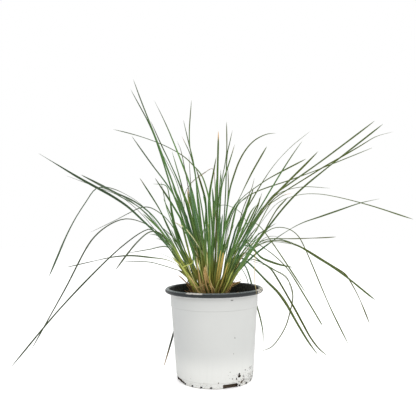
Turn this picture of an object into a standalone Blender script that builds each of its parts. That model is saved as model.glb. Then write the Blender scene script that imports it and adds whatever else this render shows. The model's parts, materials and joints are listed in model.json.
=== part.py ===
"""Potted blue oat grass: a clump of long folded leaves growing from a round nursery pot.

Metres, +Z up. The origin is the middle of the pot's flat foot. The front of the plant looks
along -Y and its widest spread runs along X. Tables of sizes are in millimetres.
"""
import math
import random

import bmesh
import bpy
import numpy as np
from mathutils import Vector, kdtree

MM = 0.001
GAP = 0.0003

# Pot: height, then the radii and heights of its steps
POT_HEIGHT = 0.165
POT_SIDES = 48
WALL = 0.0015
FOOT_RADIUS = 0.067
FOOT_CHAMFER = 0.0013
FOOT_BAND_RADIUS = 0.0696
FOOT_BAND_TOP = 0.010
WALL_FOOT_RADIUS = 0.0703
COLLAR_RADIUS = 0.0792
COLLAR_FOOT = 0.1337
COLLAR_TOP = 0.1528
COLLAR_TOP_RADIUS = 0.0797
STEP = 0.0006
RIM_TUBE = 0.0041
RIM_RADIUS = 0.0854
RIM_LIP_ANGLE = -60
FLOOR = 0.0024

# Drain slots through the foot's corner, as angles from the front towards the right
SLOT_ANGLES = (21.7, 111.7, 201.7, 291.7)
SLOT_WIDTH = 0.027
SLOT_HEIGHT = 0.008
SLOT_REACH = (0.058, 0.076)

# Potting mix and root crown
SOIL_LEVEL = 0.138
SOIL_RINGS = 4
SOIL_LUMP = 0.0014
SEAT_RADIUS = 0.046
CROWN_CENTRE = (-0.008, 0.0)
CROWN_RADIUS = 0.0315
CROWN_HEIGHT = 0.0075
CROWN_SIDES = 28
HUSK_REACH = 0.006
HUSK_RISE = 0.002
HUSK_TIP = 0.35
HUSK_FLATTENING = 0.2

# The picture that the leaves were measured in: where the eye stood, and how far it leant over
EYE = (-0.012, -0.865, 0.272)
PICTURE_LEAN = math.radians(0.6)
PICTURE_PIVOT = 0.082

# Leaf roots: the disc that they stand on, and how far apart. A root stands this share of the way
# out to where its leaf is first measured, and of the way that the leaf's tip comes forward.
ROOT_REACH = 0.0275
ROOT_SPACING = 0.0056
ROOT_SPREAD = 0.5
ROOT_FORWARD = 0.128
FIRST_FORWARD = 0.8
ROOT_ROUNDS = 400
ROOT_EASE = 0.3

# Leaf shape: a thick sheath at the foot that opens into a folded blade
SHEATH_WIDTH = 0.0040
SHEATH_THICKNESS = 0.0026
SHEATH_END = (0.015, 0.060)
BLADE_THICKNESS = 0.0003
BLADE_THICKENING = 0.20
FOLD = 0.45
TAPER = (3.0, 0.8)
START_TURN = 35
WHOLE_TURN = 70
LEAF_CREASE = 60
ARCH_LAG = 1.25

# Steps along a leaf: points of its route, and rings, which stand closer where it bends
ROUTE_POINTS = 200
RINGS = (9, 20)
RING_MEASURE = 0.235
STRAIGHT_DENSITY = 6.0
BEND_WINDOW = 11

# Room between leaves, and how the leaves are eased apart along the lines of sight. The first
# twelfth of a leaf is held more and more towards its root, and the roots settle which leaf is ahead.
ROOM_SHARE = 0.55
CLEARANCE = 0.0009
CLEARING_ROUNDS = 240
CLEARING_EASE = 0.25
CLEARING_SPREAD = 7.0
CLEARING_REACH = 16
NEAR_ENOUGH = 0.0003
HELD_PARTS = 12.0
ROOT_WEIGHT = 100.0

# Each leaf: colour, width, how far its tip comes towards the viewer, and its points from the clump
# to the tip as (across, up) in the upright plane through the pot's axis, in millimetres. A third
# number in a point is how far that point comes towards the viewer.
LEAVES = (
    # Arching over and hanging, left
    ("olive", 2.8, -38, (-61, 202), (-91, 246), (-115, 271), (-140, 262), (-192, 220), (-283, 126),
     (-374, 17)),
    ("olive", 2.8, -70, (-56, 200), (-82, 238), (-110, 271), (-155, 290), (-190, 281), (-228, 248),
     (-274, 162), (-336, 50)),
    ("blue", 2.8, 60, (-49, 187), (-72, 227), (-109, 283), (-142, 314), (-173, 331), (-208, 350),
     (-228, 332), (-265, 273), (-304, 183)),
    ("olive", 2.6, 150, (-52, 196), (-86, 248), (-108, 268), (-131, 258), (-162, 223), (-181, 197)),
    ("green", 2.0, -160, (-44, 205), (-62, 250), (-85, 287), (-107, 305), (-131, 312), (-177, 290),
     (-228, 265)),
    ("olive", 2.0, 100, (-45, 178), (-63, 203), (-94, 217), (-127, 220), (-164, 223), (-201, 217),
     (-272, 201)),
    ("straw", 2.4, -45, (-28, 172, -16), (-38, 200, -45), (-45, 190, -72), (-52, 160, -82),
     (-64, 120, -72), (-77, 75, -60), (-93, 19)),
    # Rising, left
    ("blue", 4.2, 20, (-50, 187), (-91, 246), (-137, 293), (-173, 323), (-247, 365), (-324, 411)),
    ("blue", 3.2, -40, (-46, 190), (-70, 232), (-106, 288), (-141, 319), (-175, 335), (-210, 353),
     (-245, 371)),
    ("green", 2.8, -130, (-44, 190), (-68, 228), (-100, 273), (-133, 315), (-173, 340), (-204, 350)),
    ("green", 2.6, 130, (-42, 190), (-67, 238), (-98, 303), (-118, 336), (-137, 365)),
    ("green", 2.4, 180, (-32, 200), (-56, 279), (-87, 332), (-109, 365)),
    ("green", 2.4, -190, (-38, 200), (-67, 260), (-85, 301), (-91, 325), (-98, 358)),
    ("green", 2.4, 70, (-36, 195), (-63, 251), (-72, 281), (-81, 319), (-88, 350), (-113, 354)),
    ("blue", 3.0, -60, (-30, 190), (-52, 284), (-78, 339), (-118, 394), (-152, 442)),
    ("blue", 4.0, 30, (-24, 190), (-36, 233), (-54, 293), (-94, 403), (-135, 508), (-149, 546)),
    ("blue", 3.8, -50, (-28, 190), (-56, 282), (-78, 343), (-96, 402), (-116, 457), (-154, 528)),
    ("green", 2.8, 90, (-20, 195), (-45, 299), (-69, 365), (-96, 422), (-117, 469)),
    ("blue", 2.8, -120, (-12, 195), (-32, 301), (-45, 354), (-85, 455), (-111, 508)),
    ("green", 2.6, -210, (-4, 200), (-6, 300), (-21, 365), (-45, 394), (-63, 409), (-100, 428),
     (-146, 444), (-186, 454)),
    # Upright
    ("green", 2.0, -130, (-12, 200), (-21, 297), (-41, 402), (-46, 440), (-42, 508)),
    ("green", 2.4, 190, (-16, 200), (-30, 315), (-35, 376), (-46, 425), (-57, 471)),
    ("green", 2.2, 230, (-10, 200), (-15, 288), (-16, 319), (-23, 348), (-34, 383)),
    ("blue", 4.0, -60, (0, 200), (4, 306), (5, 380), (7, 451)),
    ("green", 2.2, 260, (-8, 250), (-10, 325), (-2, 376), (3, 403)),
    ("blue", 2.8, -170, (2, 200), (5, 297), (13, 358), (22, 410), (22, 468)),
    ("green", 2.4, 170, (4, 200), (12, 339), (24, 383), (37, 426)),
    ("green", 2.4, 250, (8, 200), (19, 279), (25, 343), (24, 387)),
    ("green", 2.4, -220, (8, 200), (19, 279), (26, 334), (32, 359), (45, 396), (58, 418), (74, 435),
     (98, 446), (113, 447)),
    ("green", 2.8, -110, (10, 200), (25, 284), (47, 331), (69, 376), (96, 423)),
    # Rising, right
    ("green", 2.2, -250, (22, 200), (36, 262), (60, 310), (102, 379), (138, 420), (176, 451)),
    ("green", 2.6, -70, (28, 205), (65, 279), (93, 326), (116, 365), (138, 400), (161, 433)),
    ("green", 2.4, -170, (14, 200), (24, 275), (43, 319), (56, 333), (93, 360), (127, 379), (168, 400)),
    ("green", 2.4, 190, (18, 195), (38, 246), (58, 304), (72, 347)),
    ("blue", 4.0, 30, (34, 200), (56, 251), (74, 284), (105, 330), (138, 355), (193, 394), (294, 470)),
    ("blue", 2.8, -50, (45, 198), (85, 257), (124, 308), (157, 343), (203, 381), (309, 464)),
    ("green", 2.2, 90, (32, 200), (66, 268), (105, 323), (157, 358), (203, 387), (258, 418),
     (294, 440), (329, 450)),
    ("green", 2.6, -140, (14, 200), (30, 290), (50, 323), (80, 341), (138, 361), (184, 378), (291, 421)),
    ("blue", 3.8, 150, (30, 200), (69, 277), (89, 310), (120, 344), (157, 381), (190, 414)),
    ("green", 2.0, -230, (30, 205), (70, 285), (110, 331), (133, 343), (166, 349), (212, 346)),
    ("green", 2.4, 200, (36, 200), (80, 249), (93, 271), (116, 310), (135, 330)),
    ("blue", 3.0, 70, (28, 178), (52, 204), (80, 230), (126, 263), (157, 281), (212, 300), (267, 319),
     (303, 327)),
    ("green", 2.6, 5, (40, 205), (80, 275), (111, 315), (129, 326), (153, 334), (179, 336), (212, 333),
     (285, 315), (365, 289)),
    # Arching over and hanging, right
    ("olive", 2.2, 120, (26, 180), (50, 218), (78, 246), (98, 253), (157, 254), (223, 257)),
    ("blue", 3.6, -30, (36, 190), (68, 235), (102, 254), (142, 246), (193, 217), (230, 193), (267, 164),
     (295, 141)),
    ("olive", 2.4, -100, (34, 185), (64, 228), (98, 248), (130, 248), (175, 229), (212, 207), (241, 188),
     (252, 170), (267, 141), (285, 96)),
    ("green", 2.8, 40, (36, 200), (60, 235), (83, 257), (102, 271), (120, 275), (138, 271), (151, 262),
     (164, 240), (179, 206), (212, 128), (246, 59)),
    ("blue", 3.8, 170, (26, 190), (42, 222), (54, 241), (69, 238), (83, 221), (111, 209), (144, 201)),
    ("blue", 3.8, -110, (26, 185), (42, 214), (54, 228), (65, 226), (83, 212), (102, 200), (129, 158),
     (157, 108), (175, 75), (193, 51), (208, 38)),
    ("olive", 2.0, -120, (28, 184), (50, 212), (70, 216), (98, 204), (113, 194), (133, 181), (142, 160),
     (143, 140), (131, 94), (118, 71), (102, 53), (85, 47)),
    ("blue", 3.8, -100, (18, 180), (34, 214), (47, 220), (69, 204), (87, 185), (111, 161), (127, 141),
     (157, 90), (175, 61), (190, 40)),
    ("green", 2.8, -90, (24, 190), (46, 238), (64, 250), (80, 243), (102, 229), (120, 213), (137, 194),
     (170, 141), (198, 94)),
    ("green", 2.2, 120, (20, 195), (44, 262), (62, 283), (80, 279), (109, 242), (138, 199), (167, 155)),
    # Falling behind the pot
    ("blue", 2.8, -92, (20, 180, -20), (36, 206, -40), (52, 209, -56), (61, 193, -74), (68, 172, -90),
     (78, 130, -100), (88, 90, -100), (89, 53)),
    ("blue", 2.8, -185, (14, 180, -24), (28, 204, -50), (42, 206, -80), (54, 192, -115), (62, 172, -140),
     (64, 130, -170), (58, 90)),
    ("green", 2.8, -285, (-8, 200, -26), (-14, 262, -70), (-20, 270, -130), (-24, 240, -195),
     (-26, 190, -245), (-26, 140, -272), (-22, 100)),
    # Pale one across the front
    ("straw", 2.6, 70, (-8, 190, 24), (-21, 226), (-36, 250), (-54, 273), (-74, 284)),
)

# Linear colour and roughness of each finish
FINISHES = {
    "pot": ((0.68, 0.69, 0.67), 0.5),
    "soil": ((0.018, 0.013, 0.009), 0.95),
    "crown": ((0.26, 0.17, 0.075), 0.85),
    "blue": ((0.105, 0.17, 0.115), 0.55),
    "green": ((0.12, 0.20, 0.07), 0.55),
    "olive": ((0.18, 0.21, 0.10), 0.6),
    "straw": ((0.50, 0.38, 0.17), 0.7),
}


def clear_scene():
    for item in list(bpy.data.objects):
        bpy.data.objects.remove(item, do_unlink=True)


def finish_material(name, finish):
    colour, roughness = FINISHES[finish]
    material = bpy.data.materials.new(name)
    material.use_nodes = True
    shader = material.node_tree.nodes["Principled BSDF"]
    shader.inputs["Base Color"].default_value = (*colour, 1.0)
    shader.inputs["Roughness"].default_value = roughness
    shader.inputs["Metallic"].default_value = 0.0
    return material


def make_object(name, bm, finish, crease=math.radians(40)):
    bmesh.ops.recalc_face_normals(bm, faces=bm.faces)
    mesh = bpy.data.meshes.new(name)
    bm.to_mesh(mesh)
    bm.free()
    mesh.shade_smooth()
    mesh.set_sharp_from_angle(angle=crease)
    mesh.materials.append(finish_material(name, finish))
    item = bpy.data.objects.new(name, mesh)
    bpy.context.collection.objects.link(item)
    return item


def turned(outline, sides, lift=None):
    """Closed solid of revolution about Z; outline runs from the axis, round the section, to the axis."""
    bm = bmesh.new()
    rings = []
    for radius, height in outline:
        if radius == 0.0:
            rings.append([bm.verts.new((0.0, 0.0, height))])
            continue
        ring = []
        for side in range(sides):
            angle = math.tau * side / sides
            x = radius * math.cos(angle)
            y = radius * math.sin(angle)
            rise = lift(x, y, height) if lift else 0.0
            ring.append(bm.verts.new((x, y, height + rise)))
        rings.append(ring)
    for low, high in zip(rings, rings[1:]):
        for side in range(sides):
            after = (side + 1) % sides
            if len(low) == 1:
                bm.faces.new((low[0], high[side], high[after]))
            elif len(high) == 1:
                bm.faces.new((low[side], low[after], high[0]))
            else:
                bm.faces.new((low[side], low[after], high[after], high[side]))
    return bm


def rim_arc(radius, degrees):
    """Points of the rolled rim's section at these angles from straight outwards."""
    centre_height = POT_HEIGHT - RIM_TUBE
    points = []
    for angle in degrees:
        turn = math.radians(angle)
        points.append((RIM_RADIUS + radius * math.cos(turn), centre_height + radius * math.sin(turn)))
    return points


def pot_inside():
    """Inner wall from the floor up to the rim."""
    return [
        (FOOT_BAND_RADIUS - 2 * WALL, FLOOR),
        (WALL_FOOT_RADIUS - WALL, FOOT_BAND_TOP + STEP),
        (COLLAR_RADIUS - WALL, COLLAR_FOOT),
        (COLLAR_TOP_RADIUS - WALL, COLLAR_TOP),
    ]


def make_pot():
    outside = [
        (0.0, 0.0),
        (FOOT_RADIUS, 0.0),
        (FOOT_RADIUS + FOOT_CHAMFER, FOOT_CHAMFER),
        (FOOT_BAND_RADIUS, FOOT_BAND_TOP),
        (WALL_FOOT_RADIUS, FOOT_BAND_TOP + STEP),
        (COLLAR_RADIUS - STEP, COLLAR_FOOT - STEP),
        (COLLAR_RADIUS, COLLAR_FOOT),
        (COLLAR_TOP_RADIUS, COLLAR_TOP),
        (COLLAR_TOP_RADIUS + STEP, COLLAR_TOP + 2 * STEP),
    ]
    curl_inside = rim_arc(RIM_TUBE - WALL, range(180, RIM_LIP_ANGLE - 1, -60))
    curl_outside = rim_arc(RIM_TUBE, range(RIM_LIP_ANGLE, 181, 40))
    outline = outside + curl_inside + curl_outside + pot_inside()[::-1] + [(0.0, FLOOR)]
    pot = make_object("pot", turned(outline, POT_SIDES), "pot")
    for number, degrees in enumerate(SLOT_ANGLES):
        cut = pot.modifiers.new(f"slot_{number}", "BOOLEAN")
        cut.operation = "DIFFERENCE"
        cut.solver = "EXACT"
        cut.object = slot_cutter(number, math.radians(degrees))
    return pot


def slot_cutter(number, angle):
    near, far = SLOT_REACH
    bm = bmesh.new()
    bmesh.ops.create_cube(bm, size=1.0)
    bmesh.ops.scale(bm, vec=(SLOT_WIDTH, far - near, 2 * SLOT_HEIGHT), verts=bm.verts)
    bmesh.ops.translate(bm, vec=(0.0, -(near + far) / 2, 0.0), verts=bm.verts)
    cutter = make_object(f"slot_cutter_{number}", bm, "pot")
    cutter.rotation_euler = (0.0, 0.0, angle)
    cutter.hide_render = True
    cutter.display_type = "WIRE"
    return cutter


def soil_lumps(x, y, height):
    """Uneven top of the potting mix; flat under the crown."""
    away = math.hypot(x, y)
    if height < SOIL_LEVEL - MM or away < SEAT_RADIUS + MM / 2:
        return 0.0
    angle = math.atan2(y, x)
    return SOIL_LUMP * (math.sin(5 * angle + 90 * away) + 0.6 * math.sin(11 * angle + 1.3) - 1.0)


def make_soil():
    clear = GAP + MM * 0.3
    side = [(radius - clear, height) for radius, height in pot_inside()[:3]]
    side[0] = (side[0][0], FLOOR + GAP)
    wall_radius = side[-1][0]
    outline = [(0.0, FLOOR + GAP)] + side
    for ring in range(SOIL_RINGS):
        radius = wall_radius - (wall_radius - SEAT_RADIUS) * ring / (SOIL_RINGS - 1)
        outline.append((radius, SOIL_LEVEL))
    outline.append((0.0, SOIL_LEVEL))
    return make_object("soil", turned(outline, POT_SIDES, soil_lumps), "soil")


def face_angle(face):
    centre = face.calc_center_median()
    return math.atan2(centre.y, centre.x)


def make_crown():
    """Low flat-topped crown; every other facet of its side grows out into a short dead husk."""
    low = SOIL_LEVEL + GAP
    high = low + CROWN_HEIGHT
    outline = [
        (0.0, low),
        (CROWN_RADIUS, low),
        (CROWN_RADIUS, low + CROWN_HEIGHT / 2),
        (CROWN_RADIUS - 2 * MM, high),
        (0.0, high),
    ]
    bm = turned(outline, CROWN_SIDES)
    bmesh.ops.recalc_face_normals(bm, faces=bm.faces)
    middle = low + CROWN_HEIGHT / 2
    side_faces = [face for face in bm.faces if abs(face.normal.z) < 0.1 and len(face.verts) == 4]
    side_faces.sort(key=face_angle)
    for face in side_faces[::2]:
        out = face.normal.copy()
        grown = bmesh.ops.extrude_discrete_faces(bm, faces=[face])["faces"][0]
        bmesh.ops.translate(bm, vec=out * HUSK_REACH + Vector((0.0, 0.0, HUSK_RISE)), verts=grown.verts)
        centre = grown.calc_center_median()
        for vert in grown.verts:
            vert.co = centre + (vert.co - centre) * HUSK_TIP
        for vert in grown.verts:
            vert.co.z = max(vert.co.z, low + (vert.co.z - middle) * HUSK_FLATTENING)
    bmesh.ops.translate(bm, vec=(*CROWN_CENTRE, 0.0), verts=bm.verts)
    return make_object("crown", bm, "crown")


def smooth_route(points, count):
    """Even-arc points of a Catmull-Rom curve through the given ones."""
    points = np.asarray(points, dtype=float)
    steps = np.linalg.norm(np.diff(points, axis=0), axis=1) ** 0.5
    knots = np.concatenate(([0.0], np.cumsum(steps)))
    slopes = np.empty_like(points)
    slopes[1:-1] = (points[2:] - points[:-2]) / (knots[2:] - knots[:-2])[:, None]
    slopes[0] = (points[1] - points[0]) / steps[0]
    slopes[-1] = (points[-1] - points[-2]) / steps[-1]
    at = np.linspace(0.0, knots[-1], 12 * len(points))
    span = np.clip(np.searchsorted(knots, at, side="right") - 1, 0, len(steps) - 1)
    width = steps[span][:, None]
    t = ((at - knots[span]) / steps[span])[:, None]
    curve = (
        (2 * t**3 - 3 * t**2 + 1) * points[span]
        + (t**3 - 2 * t**2 + t) * width * slopes[span]
        + (3 * t**2 - 2 * t**3) * points[span + 1]
        + (t**3 - t**2) * width * slopes[span + 1]
    )
    along = np.concatenate(([0.0], np.cumsum(np.linalg.norm(np.diff(curve, axis=0), axis=1))))
    even = np.linspace(0.0, along[-1], count)
    return np.column_stack([np.interp(even, along, curve[:, axis]) for axis in range(3)])


def level_picture(across, up):
    """Turns a point measured along the picture's edges upright, in metres."""
    across *= MM
    up = up * MM - PICTURE_PIVOT
    cos, sin = math.cos(PICTURE_LEAN), math.sin(PICTURE_LEAN)
    return across * cos + up * sin, up * cos - across * sin + PICTURE_PIVOT


def brought_forward(flat):
    """Points (across, toward, up) of the upright plane, moved along their lines of sight."""
    flat = np.asarray(flat)
    shrink = (-EYE[1] - flat[:, 1]) / -EYE[1]
    return np.column_stack([
        EYE[0] + (flat[:, 0] - EYE[0]) * shrink,
        -flat[:, 1],
        EYE[2] + (flat[:, 2] - EYE[2]) * shrink,
    ])


def set_back(place):
    """The point of the upright plane that is seen at this place, with how far it comes forward."""
    toward = -place[1]
    shrink = (-EYE[1] - toward) / -EYE[1]
    across = EYE[0] + (place[0] - EYE[0]) / shrink
    up = EYE[2] + (place[2] - EYE[2]) / shrink
    return across, toward, up


def place_roots():
    """Roots on the crown, each on the side its leaf leans to, spread until they stand apart."""
    centre = np.array(CROWN_CENTRE)
    roots = []
    for _, _, toward, *points in LEAVES:
        first = level_picture(*points[0][:2])[0]
        ahead = points[0][2] * FIRST_FORWARD if len(points[0]) > 2 else toward * ROOT_FORWARD
        roots.append((first * ROOT_SPREAD, -ahead * MM))
    roots = np.array(roots)
    for _ in range(ROOT_ROUNDS):
        apart = roots[:, None, :] - roots[None, :, :]
        distance = np.linalg.norm(apart, axis=2)
        np.fill_diagonal(distance, 1.0)
        short = np.clip(ROOT_SPACING - distance, 0.0, None)
        roots += (apart / distance[:, :, None] * short[:, :, None]).sum(axis=1) * ROOT_EASE
        out = np.linalg.norm(roots - centre, axis=1)
        held = np.minimum(1.0, ROOT_REACH / out)
        roots = centre + (roots - centre) * held[:, None]
    return roots


def leaf_route(leaf, root):
    """Points along a leaf in the picture's plane, each with how far it comes forward."""
    _, _, tip_toward, *points = leaf
    root_height = SOIL_LEVEL + CROWN_HEIGHT + 2 * GAP
    start = set_back((root[0], root[1], root_height))
    flat = [(start[0], start[2])]
    known = [(0, start[1])]
    for number, point in enumerate(points, start=1):
        flat.append(level_picture(point[0], point[1]))
        if len(point) > 2:
            known.append((number, point[2] * MM))
    known.append((len(points), tip_toward * MM))
    steps = np.linalg.norm(np.diff(np.array(flat), axis=0), axis=1)
    along = np.concatenate(([0.0], np.cumsum(steps))) ** ARCH_LAG
    toward = np.interp(along, [along[number] for number, _ in known], [value for _, value in known])
    controls = [(across, ahead, up) for (across, up), ahead in zip(flat, toward)]
    return smooth_route(controls, ROUTE_POINTS)


def half_widths(width, length):
    """Room that the leaf needs about its middle line, point by point."""
    s = np.linspace(0.0, 1.0, ROUTE_POINTS)
    sheath = 1.0 - np.clip((s * length - SHEATH_END[0]) / (SHEATH_END[1] - SHEATH_END[0]), 0.0, 1.0)
    return ROOM_SHARE * (width * blade_taper(s) * (1.0 - sheath) + SHEATH_WIDTH * sheath)


def blade_taper(s):
    return np.clip(1.0 - s ** TAPER[0], 0.0, 1.0) ** TAPER[1]


def near_pairs(flat, leaf_of, room):
    """Pairs of points of different leaves that the eye sees closer together than their room."""
    tree = kdtree.KDTree(len(flat))
    for number, (across, _, up) in enumerate(flat):
        tree.insert((across, up, 0.0), number)
    tree.balance()
    reach = 2 * room.max() + CLEARANCE
    pairs = []
    for number, (across, _, up) in enumerate(flat):
        for _, other, distance in tree.find_range((across, up, 0.0), reach):
            if leaf_of[other] <= leaf_of[number]:
                continue
            need = room[number] + room[other] + CLEARANCE
            if distance < need:
                pairs.append((number, other, math.sqrt(need**2 - distance**2)))
    return pairs


def clear_of_each_other(routes, widths):
    """Moves the leaves' points along the lines of sight until no two leaves touch."""
    flat = np.concatenate(routes)
    leaf_of = np.repeat(np.arange(len(routes)), ROUTE_POINTS)
    lengths = [np.linalg.norm(np.diff(route, axis=0), axis=1).sum() for route in routes]
    room = np.concatenate([half_widths(width, length) for width, length in zip(widths, lengths)])
    pairs = near_pairs(flat, leaf_of, room)
    first = np.array([pair[0] for pair in pairs])
    second = np.array([pair[1] for pair in pairs])
    need = np.array([pair[2] for pair in pairs])
    free = np.tile(np.clip(np.linspace(0.0, HELD_PARTS, ROUTE_POINTS), 0.0, 1.0), len(routes))
    weight = 1.0 + ROOT_WEIGHT * (1.0 - np.minimum(free[first], free[second]))
    key = leaf_of[first] * len(routes) + leaf_of[second]
    ahead = weight * (flat[first, 1] - flat[second, 1])
    lead = np.bincount(key, weights=ahead, minlength=len(routes) ** 2)
    order = np.where(lead[key] >= 0.0, 1.0, -1.0)
    kernel = np.exp(-0.5 * (np.arange(-CLEARING_REACH, CLEARING_REACH + 1) / CLEARING_SPREAD) ** 2)
    for _ in range(CLEARING_ROUNDS):
        short = np.clip(need - order * (flat[first, 1] - flat[second, 1]), 0.0, None)
        if short.max() < NEAR_ENOUGH:
            break
        push = np.zeros(len(flat))
        np.maximum.at(push, first, np.where(order > 0, short, 0.0))
        np.maximum.at(push, second, np.where(order < 0, short, 0.0))
        pull = np.zeros(len(flat))
        np.maximum.at(pull, first, np.where(order < 0, short, 0.0))
        np.maximum.at(pull, second, np.where(order > 0, short, 0.0))
        move = (push - pull).reshape(len(routes), ROUTE_POINTS)
        for row in range(len(routes)):
            spread = np.convolve(move[row], kernel, mode="same")
            limit = np.abs(move[row]).max()
            move[row] = np.clip(spread, -limit, limit)
        flat[:, 1] += CLEARING_EASE * move.ravel() * free
    return flat.reshape(len(routes), ROUTE_POINTS, 3)


def ring_places(route):
    """Which points of the route carry a ring: close together where the leaf bends."""
    step = np.diff(route, axis=0)
    length = np.linalg.norm(step, axis=1)
    direction = step / length[:, None]
    turn = np.linalg.norm(np.diff(direction, axis=0), axis=1) / length[1:]
    half = BEND_WINDOW // 2
    turn = np.pad(turn, (half, half + 1), mode="edge")
    turn = np.convolve(turn, np.ones(BEND_WINDOW) / BEND_WINDOW, mode="valid")
    measure = np.concatenate(([0.0], np.cumsum((STRAIGHT_DENSITY + np.sqrt(turn)) * length)))
    count = int(np.clip(round(measure[-1] / RING_MEASURE), *RINGS))
    places = np.interp(np.linspace(0.0, measure[-1], count), measure, np.arange(len(route)))
    return np.unique(np.round(places).astype(int))


def carried_sides(route, lean):
    """Sideways direction at each point, carried along without spinning."""
    tangents = np.gradient(route, axis=0)
    tangents /= np.linalg.norm(tangents, axis=1)[:, None]
    side = np.array([-math.sin(lean), math.cos(lean), 0.0])
    sides = []
    for tangent in tangents:
        side = side - tangent * side.dot(tangent)
        side /= np.linalg.norm(side)
        sides.append(side)
    return tangents, np.array(sides)


def leaf_section(width, fold, thickness):
    """Left edge, keel, right edge and groove of the folded leaf, as (sideways, upwards)."""
    rise = fold * width / 2
    return (
        (-width / 2, rise),
        (0.0, -rise - thickness / 2),
        (width / 2, rise),
        (0.0, -rise + thickness / 2),
    )


def make_leaf(name, finish, width, route, chance):
    length = np.linalg.norm(np.diff(route, axis=0), axis=1).sum()
    lean = math.atan2(route[-1, 1] - route[0, 1], route[-1, 0] - route[0, 0])
    tangents, sides = carried_sides(route, lean)
    start_turn = math.radians(chance.uniform(-START_TURN, START_TURN))
    whole_turn = math.radians(chance.uniform(-WHOLE_TURN, WHOLE_TURN))
    places = ring_places(route)
    bm = bmesh.new()
    rings = []
    for place in places[:-1]:
        s = place / (ROUTE_POINTS - 1)
        begin, end = SHEATH_END
        blade = min(max((s * length - begin) / (end - begin), 0.0), 1.0)
        blade_width = width * float(blade_taper(s))
        ring_width = SHEATH_WIDTH * (1 - blade) + blade_width * blade
        blade_thickness = BLADE_THICKNESS + BLADE_THICKENING * blade_width
        ring_thickness = SHEATH_THICKNESS * (1 - blade) + blade_thickness * blade
        turn = start_turn + whole_turn * s
        normal = np.cross(sides[place], tangents[place])
        along_side = sides[place] * math.cos(turn) + normal * math.sin(turn)
        along_up = normal * math.cos(turn) - sides[place] * math.sin(turn)
        ring = []
        for sideways, upwards in leaf_section(ring_width, FOLD * blade, ring_thickness):
            point = route[place] + along_side * sideways + along_up * upwards
            if place == 0:
                point[2] = route[0, 2]
            ring.append(bm.verts.new(point))
        rings.append(ring)
    left, keel, right, groove = rings[0]
    bm.faces.new((left, keel, groove))
    bm.faces.new((keel, right, groove))
    for low, high in zip(rings, rings[1:]):
        for near, far in ((0, 1), (0, 3), (2, 1), (2, 3)):
            bm.faces.new((low[near], low[far], high[far]))
            bm.faces.new((low[near], high[far], high[near]))
    tip = bm.verts.new(route[-1])
    last = rings[-1]
    for near, far in ((0, 1), (1, 2), (2, 3), (3, 0)):
        bm.faces.new((last[near], last[far], tip))
    return make_object(name, bm, finish, crease=math.radians(LEAF_CREASE))


def make_leaves():
    roots = place_roots()
    widths = [leaf[1] * MM for leaf in LEAVES]
    flat = [leaf_route(leaf, root) for leaf, root in zip(LEAVES, roots)]
    cleared = clear_of_each_other(flat, widths)
    chance = random.Random(7)
    for number, (leaf, route) in enumerate(zip(LEAVES, cleared), start=1):
        make_leaf(f"leaf_{number:02d}", leaf[0], leaf[1] * MM, brought_forward(route), chance)


def main():
    clear_scene()
    make_pot()
    make_soil()
    make_crown()
    make_leaves()


main()
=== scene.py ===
"""Potted blue oat grass: the finish of the pot, the potting mix, the crown and every leaf.

Metres, +Z up. The pot's foot stands on z = 0, its axis is the Z axis, and the front faces -Y.
Tables of leaves are in millimetres, as (across, up) in the upright plane through the pot's axis.
"""

import json
import math
import random
from contextlib import contextmanager
from functools import reduce

import bpy
import numpy as np
from mathutils import Matrix, Vector, noise


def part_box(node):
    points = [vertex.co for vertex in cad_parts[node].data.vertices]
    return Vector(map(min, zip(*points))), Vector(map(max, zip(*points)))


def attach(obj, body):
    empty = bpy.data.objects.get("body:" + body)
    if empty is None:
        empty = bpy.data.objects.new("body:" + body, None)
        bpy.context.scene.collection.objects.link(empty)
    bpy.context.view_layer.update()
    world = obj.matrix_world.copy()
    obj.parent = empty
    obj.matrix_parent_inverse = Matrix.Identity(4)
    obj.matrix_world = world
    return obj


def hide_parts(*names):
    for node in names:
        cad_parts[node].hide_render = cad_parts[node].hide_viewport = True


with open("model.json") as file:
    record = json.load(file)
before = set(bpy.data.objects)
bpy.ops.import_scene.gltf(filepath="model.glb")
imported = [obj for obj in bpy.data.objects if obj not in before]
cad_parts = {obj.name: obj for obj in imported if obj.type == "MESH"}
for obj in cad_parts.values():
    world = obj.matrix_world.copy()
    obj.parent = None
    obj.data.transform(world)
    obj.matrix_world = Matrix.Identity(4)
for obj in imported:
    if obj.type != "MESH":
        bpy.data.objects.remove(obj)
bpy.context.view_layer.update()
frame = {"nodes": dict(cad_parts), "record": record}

MM = 0.001

# Pot, as it was turned: its sizes, and (radius, height) where its outline turns
POT_HEIGHT = 0.165
POT_SIDES = 128
WALL = 0.0015
FLOOR = 0.0024
FOOT_RADIUS = 0.067
FOOT_BAND = (0.0696, 0.010)
WALL_FOOT = (0.0703, 0.0106)
COLLAR_FOOT = (0.0792, 0.1337)
COLLAR_TOP = (0.0797, 0.1528)
RIM_RADIUS = 0.0854
RIM_TUBE = 0.0041
RIM_LIP_ANGLE = -60

# Drain slots and the small notches between them, cut through the foot's edge, their angles in degrees.
# Each block: its size, how far out its middle is, and its rounding.
SLOT_ANGLES = (21.7, 111.7, 201.7, 291.7)
SLOT_BLOCK = ((0.027, 0.018, 0.016), 0.067, 0.0012)
NOTCH_BLOCK = ((0.0042, 0.0100, 0.0084), 0.069, 0.0008)
NOTCH_FIRST = -6.4
NOTCH_COUNT = 25
SLOT_CLEAR = 14

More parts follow.
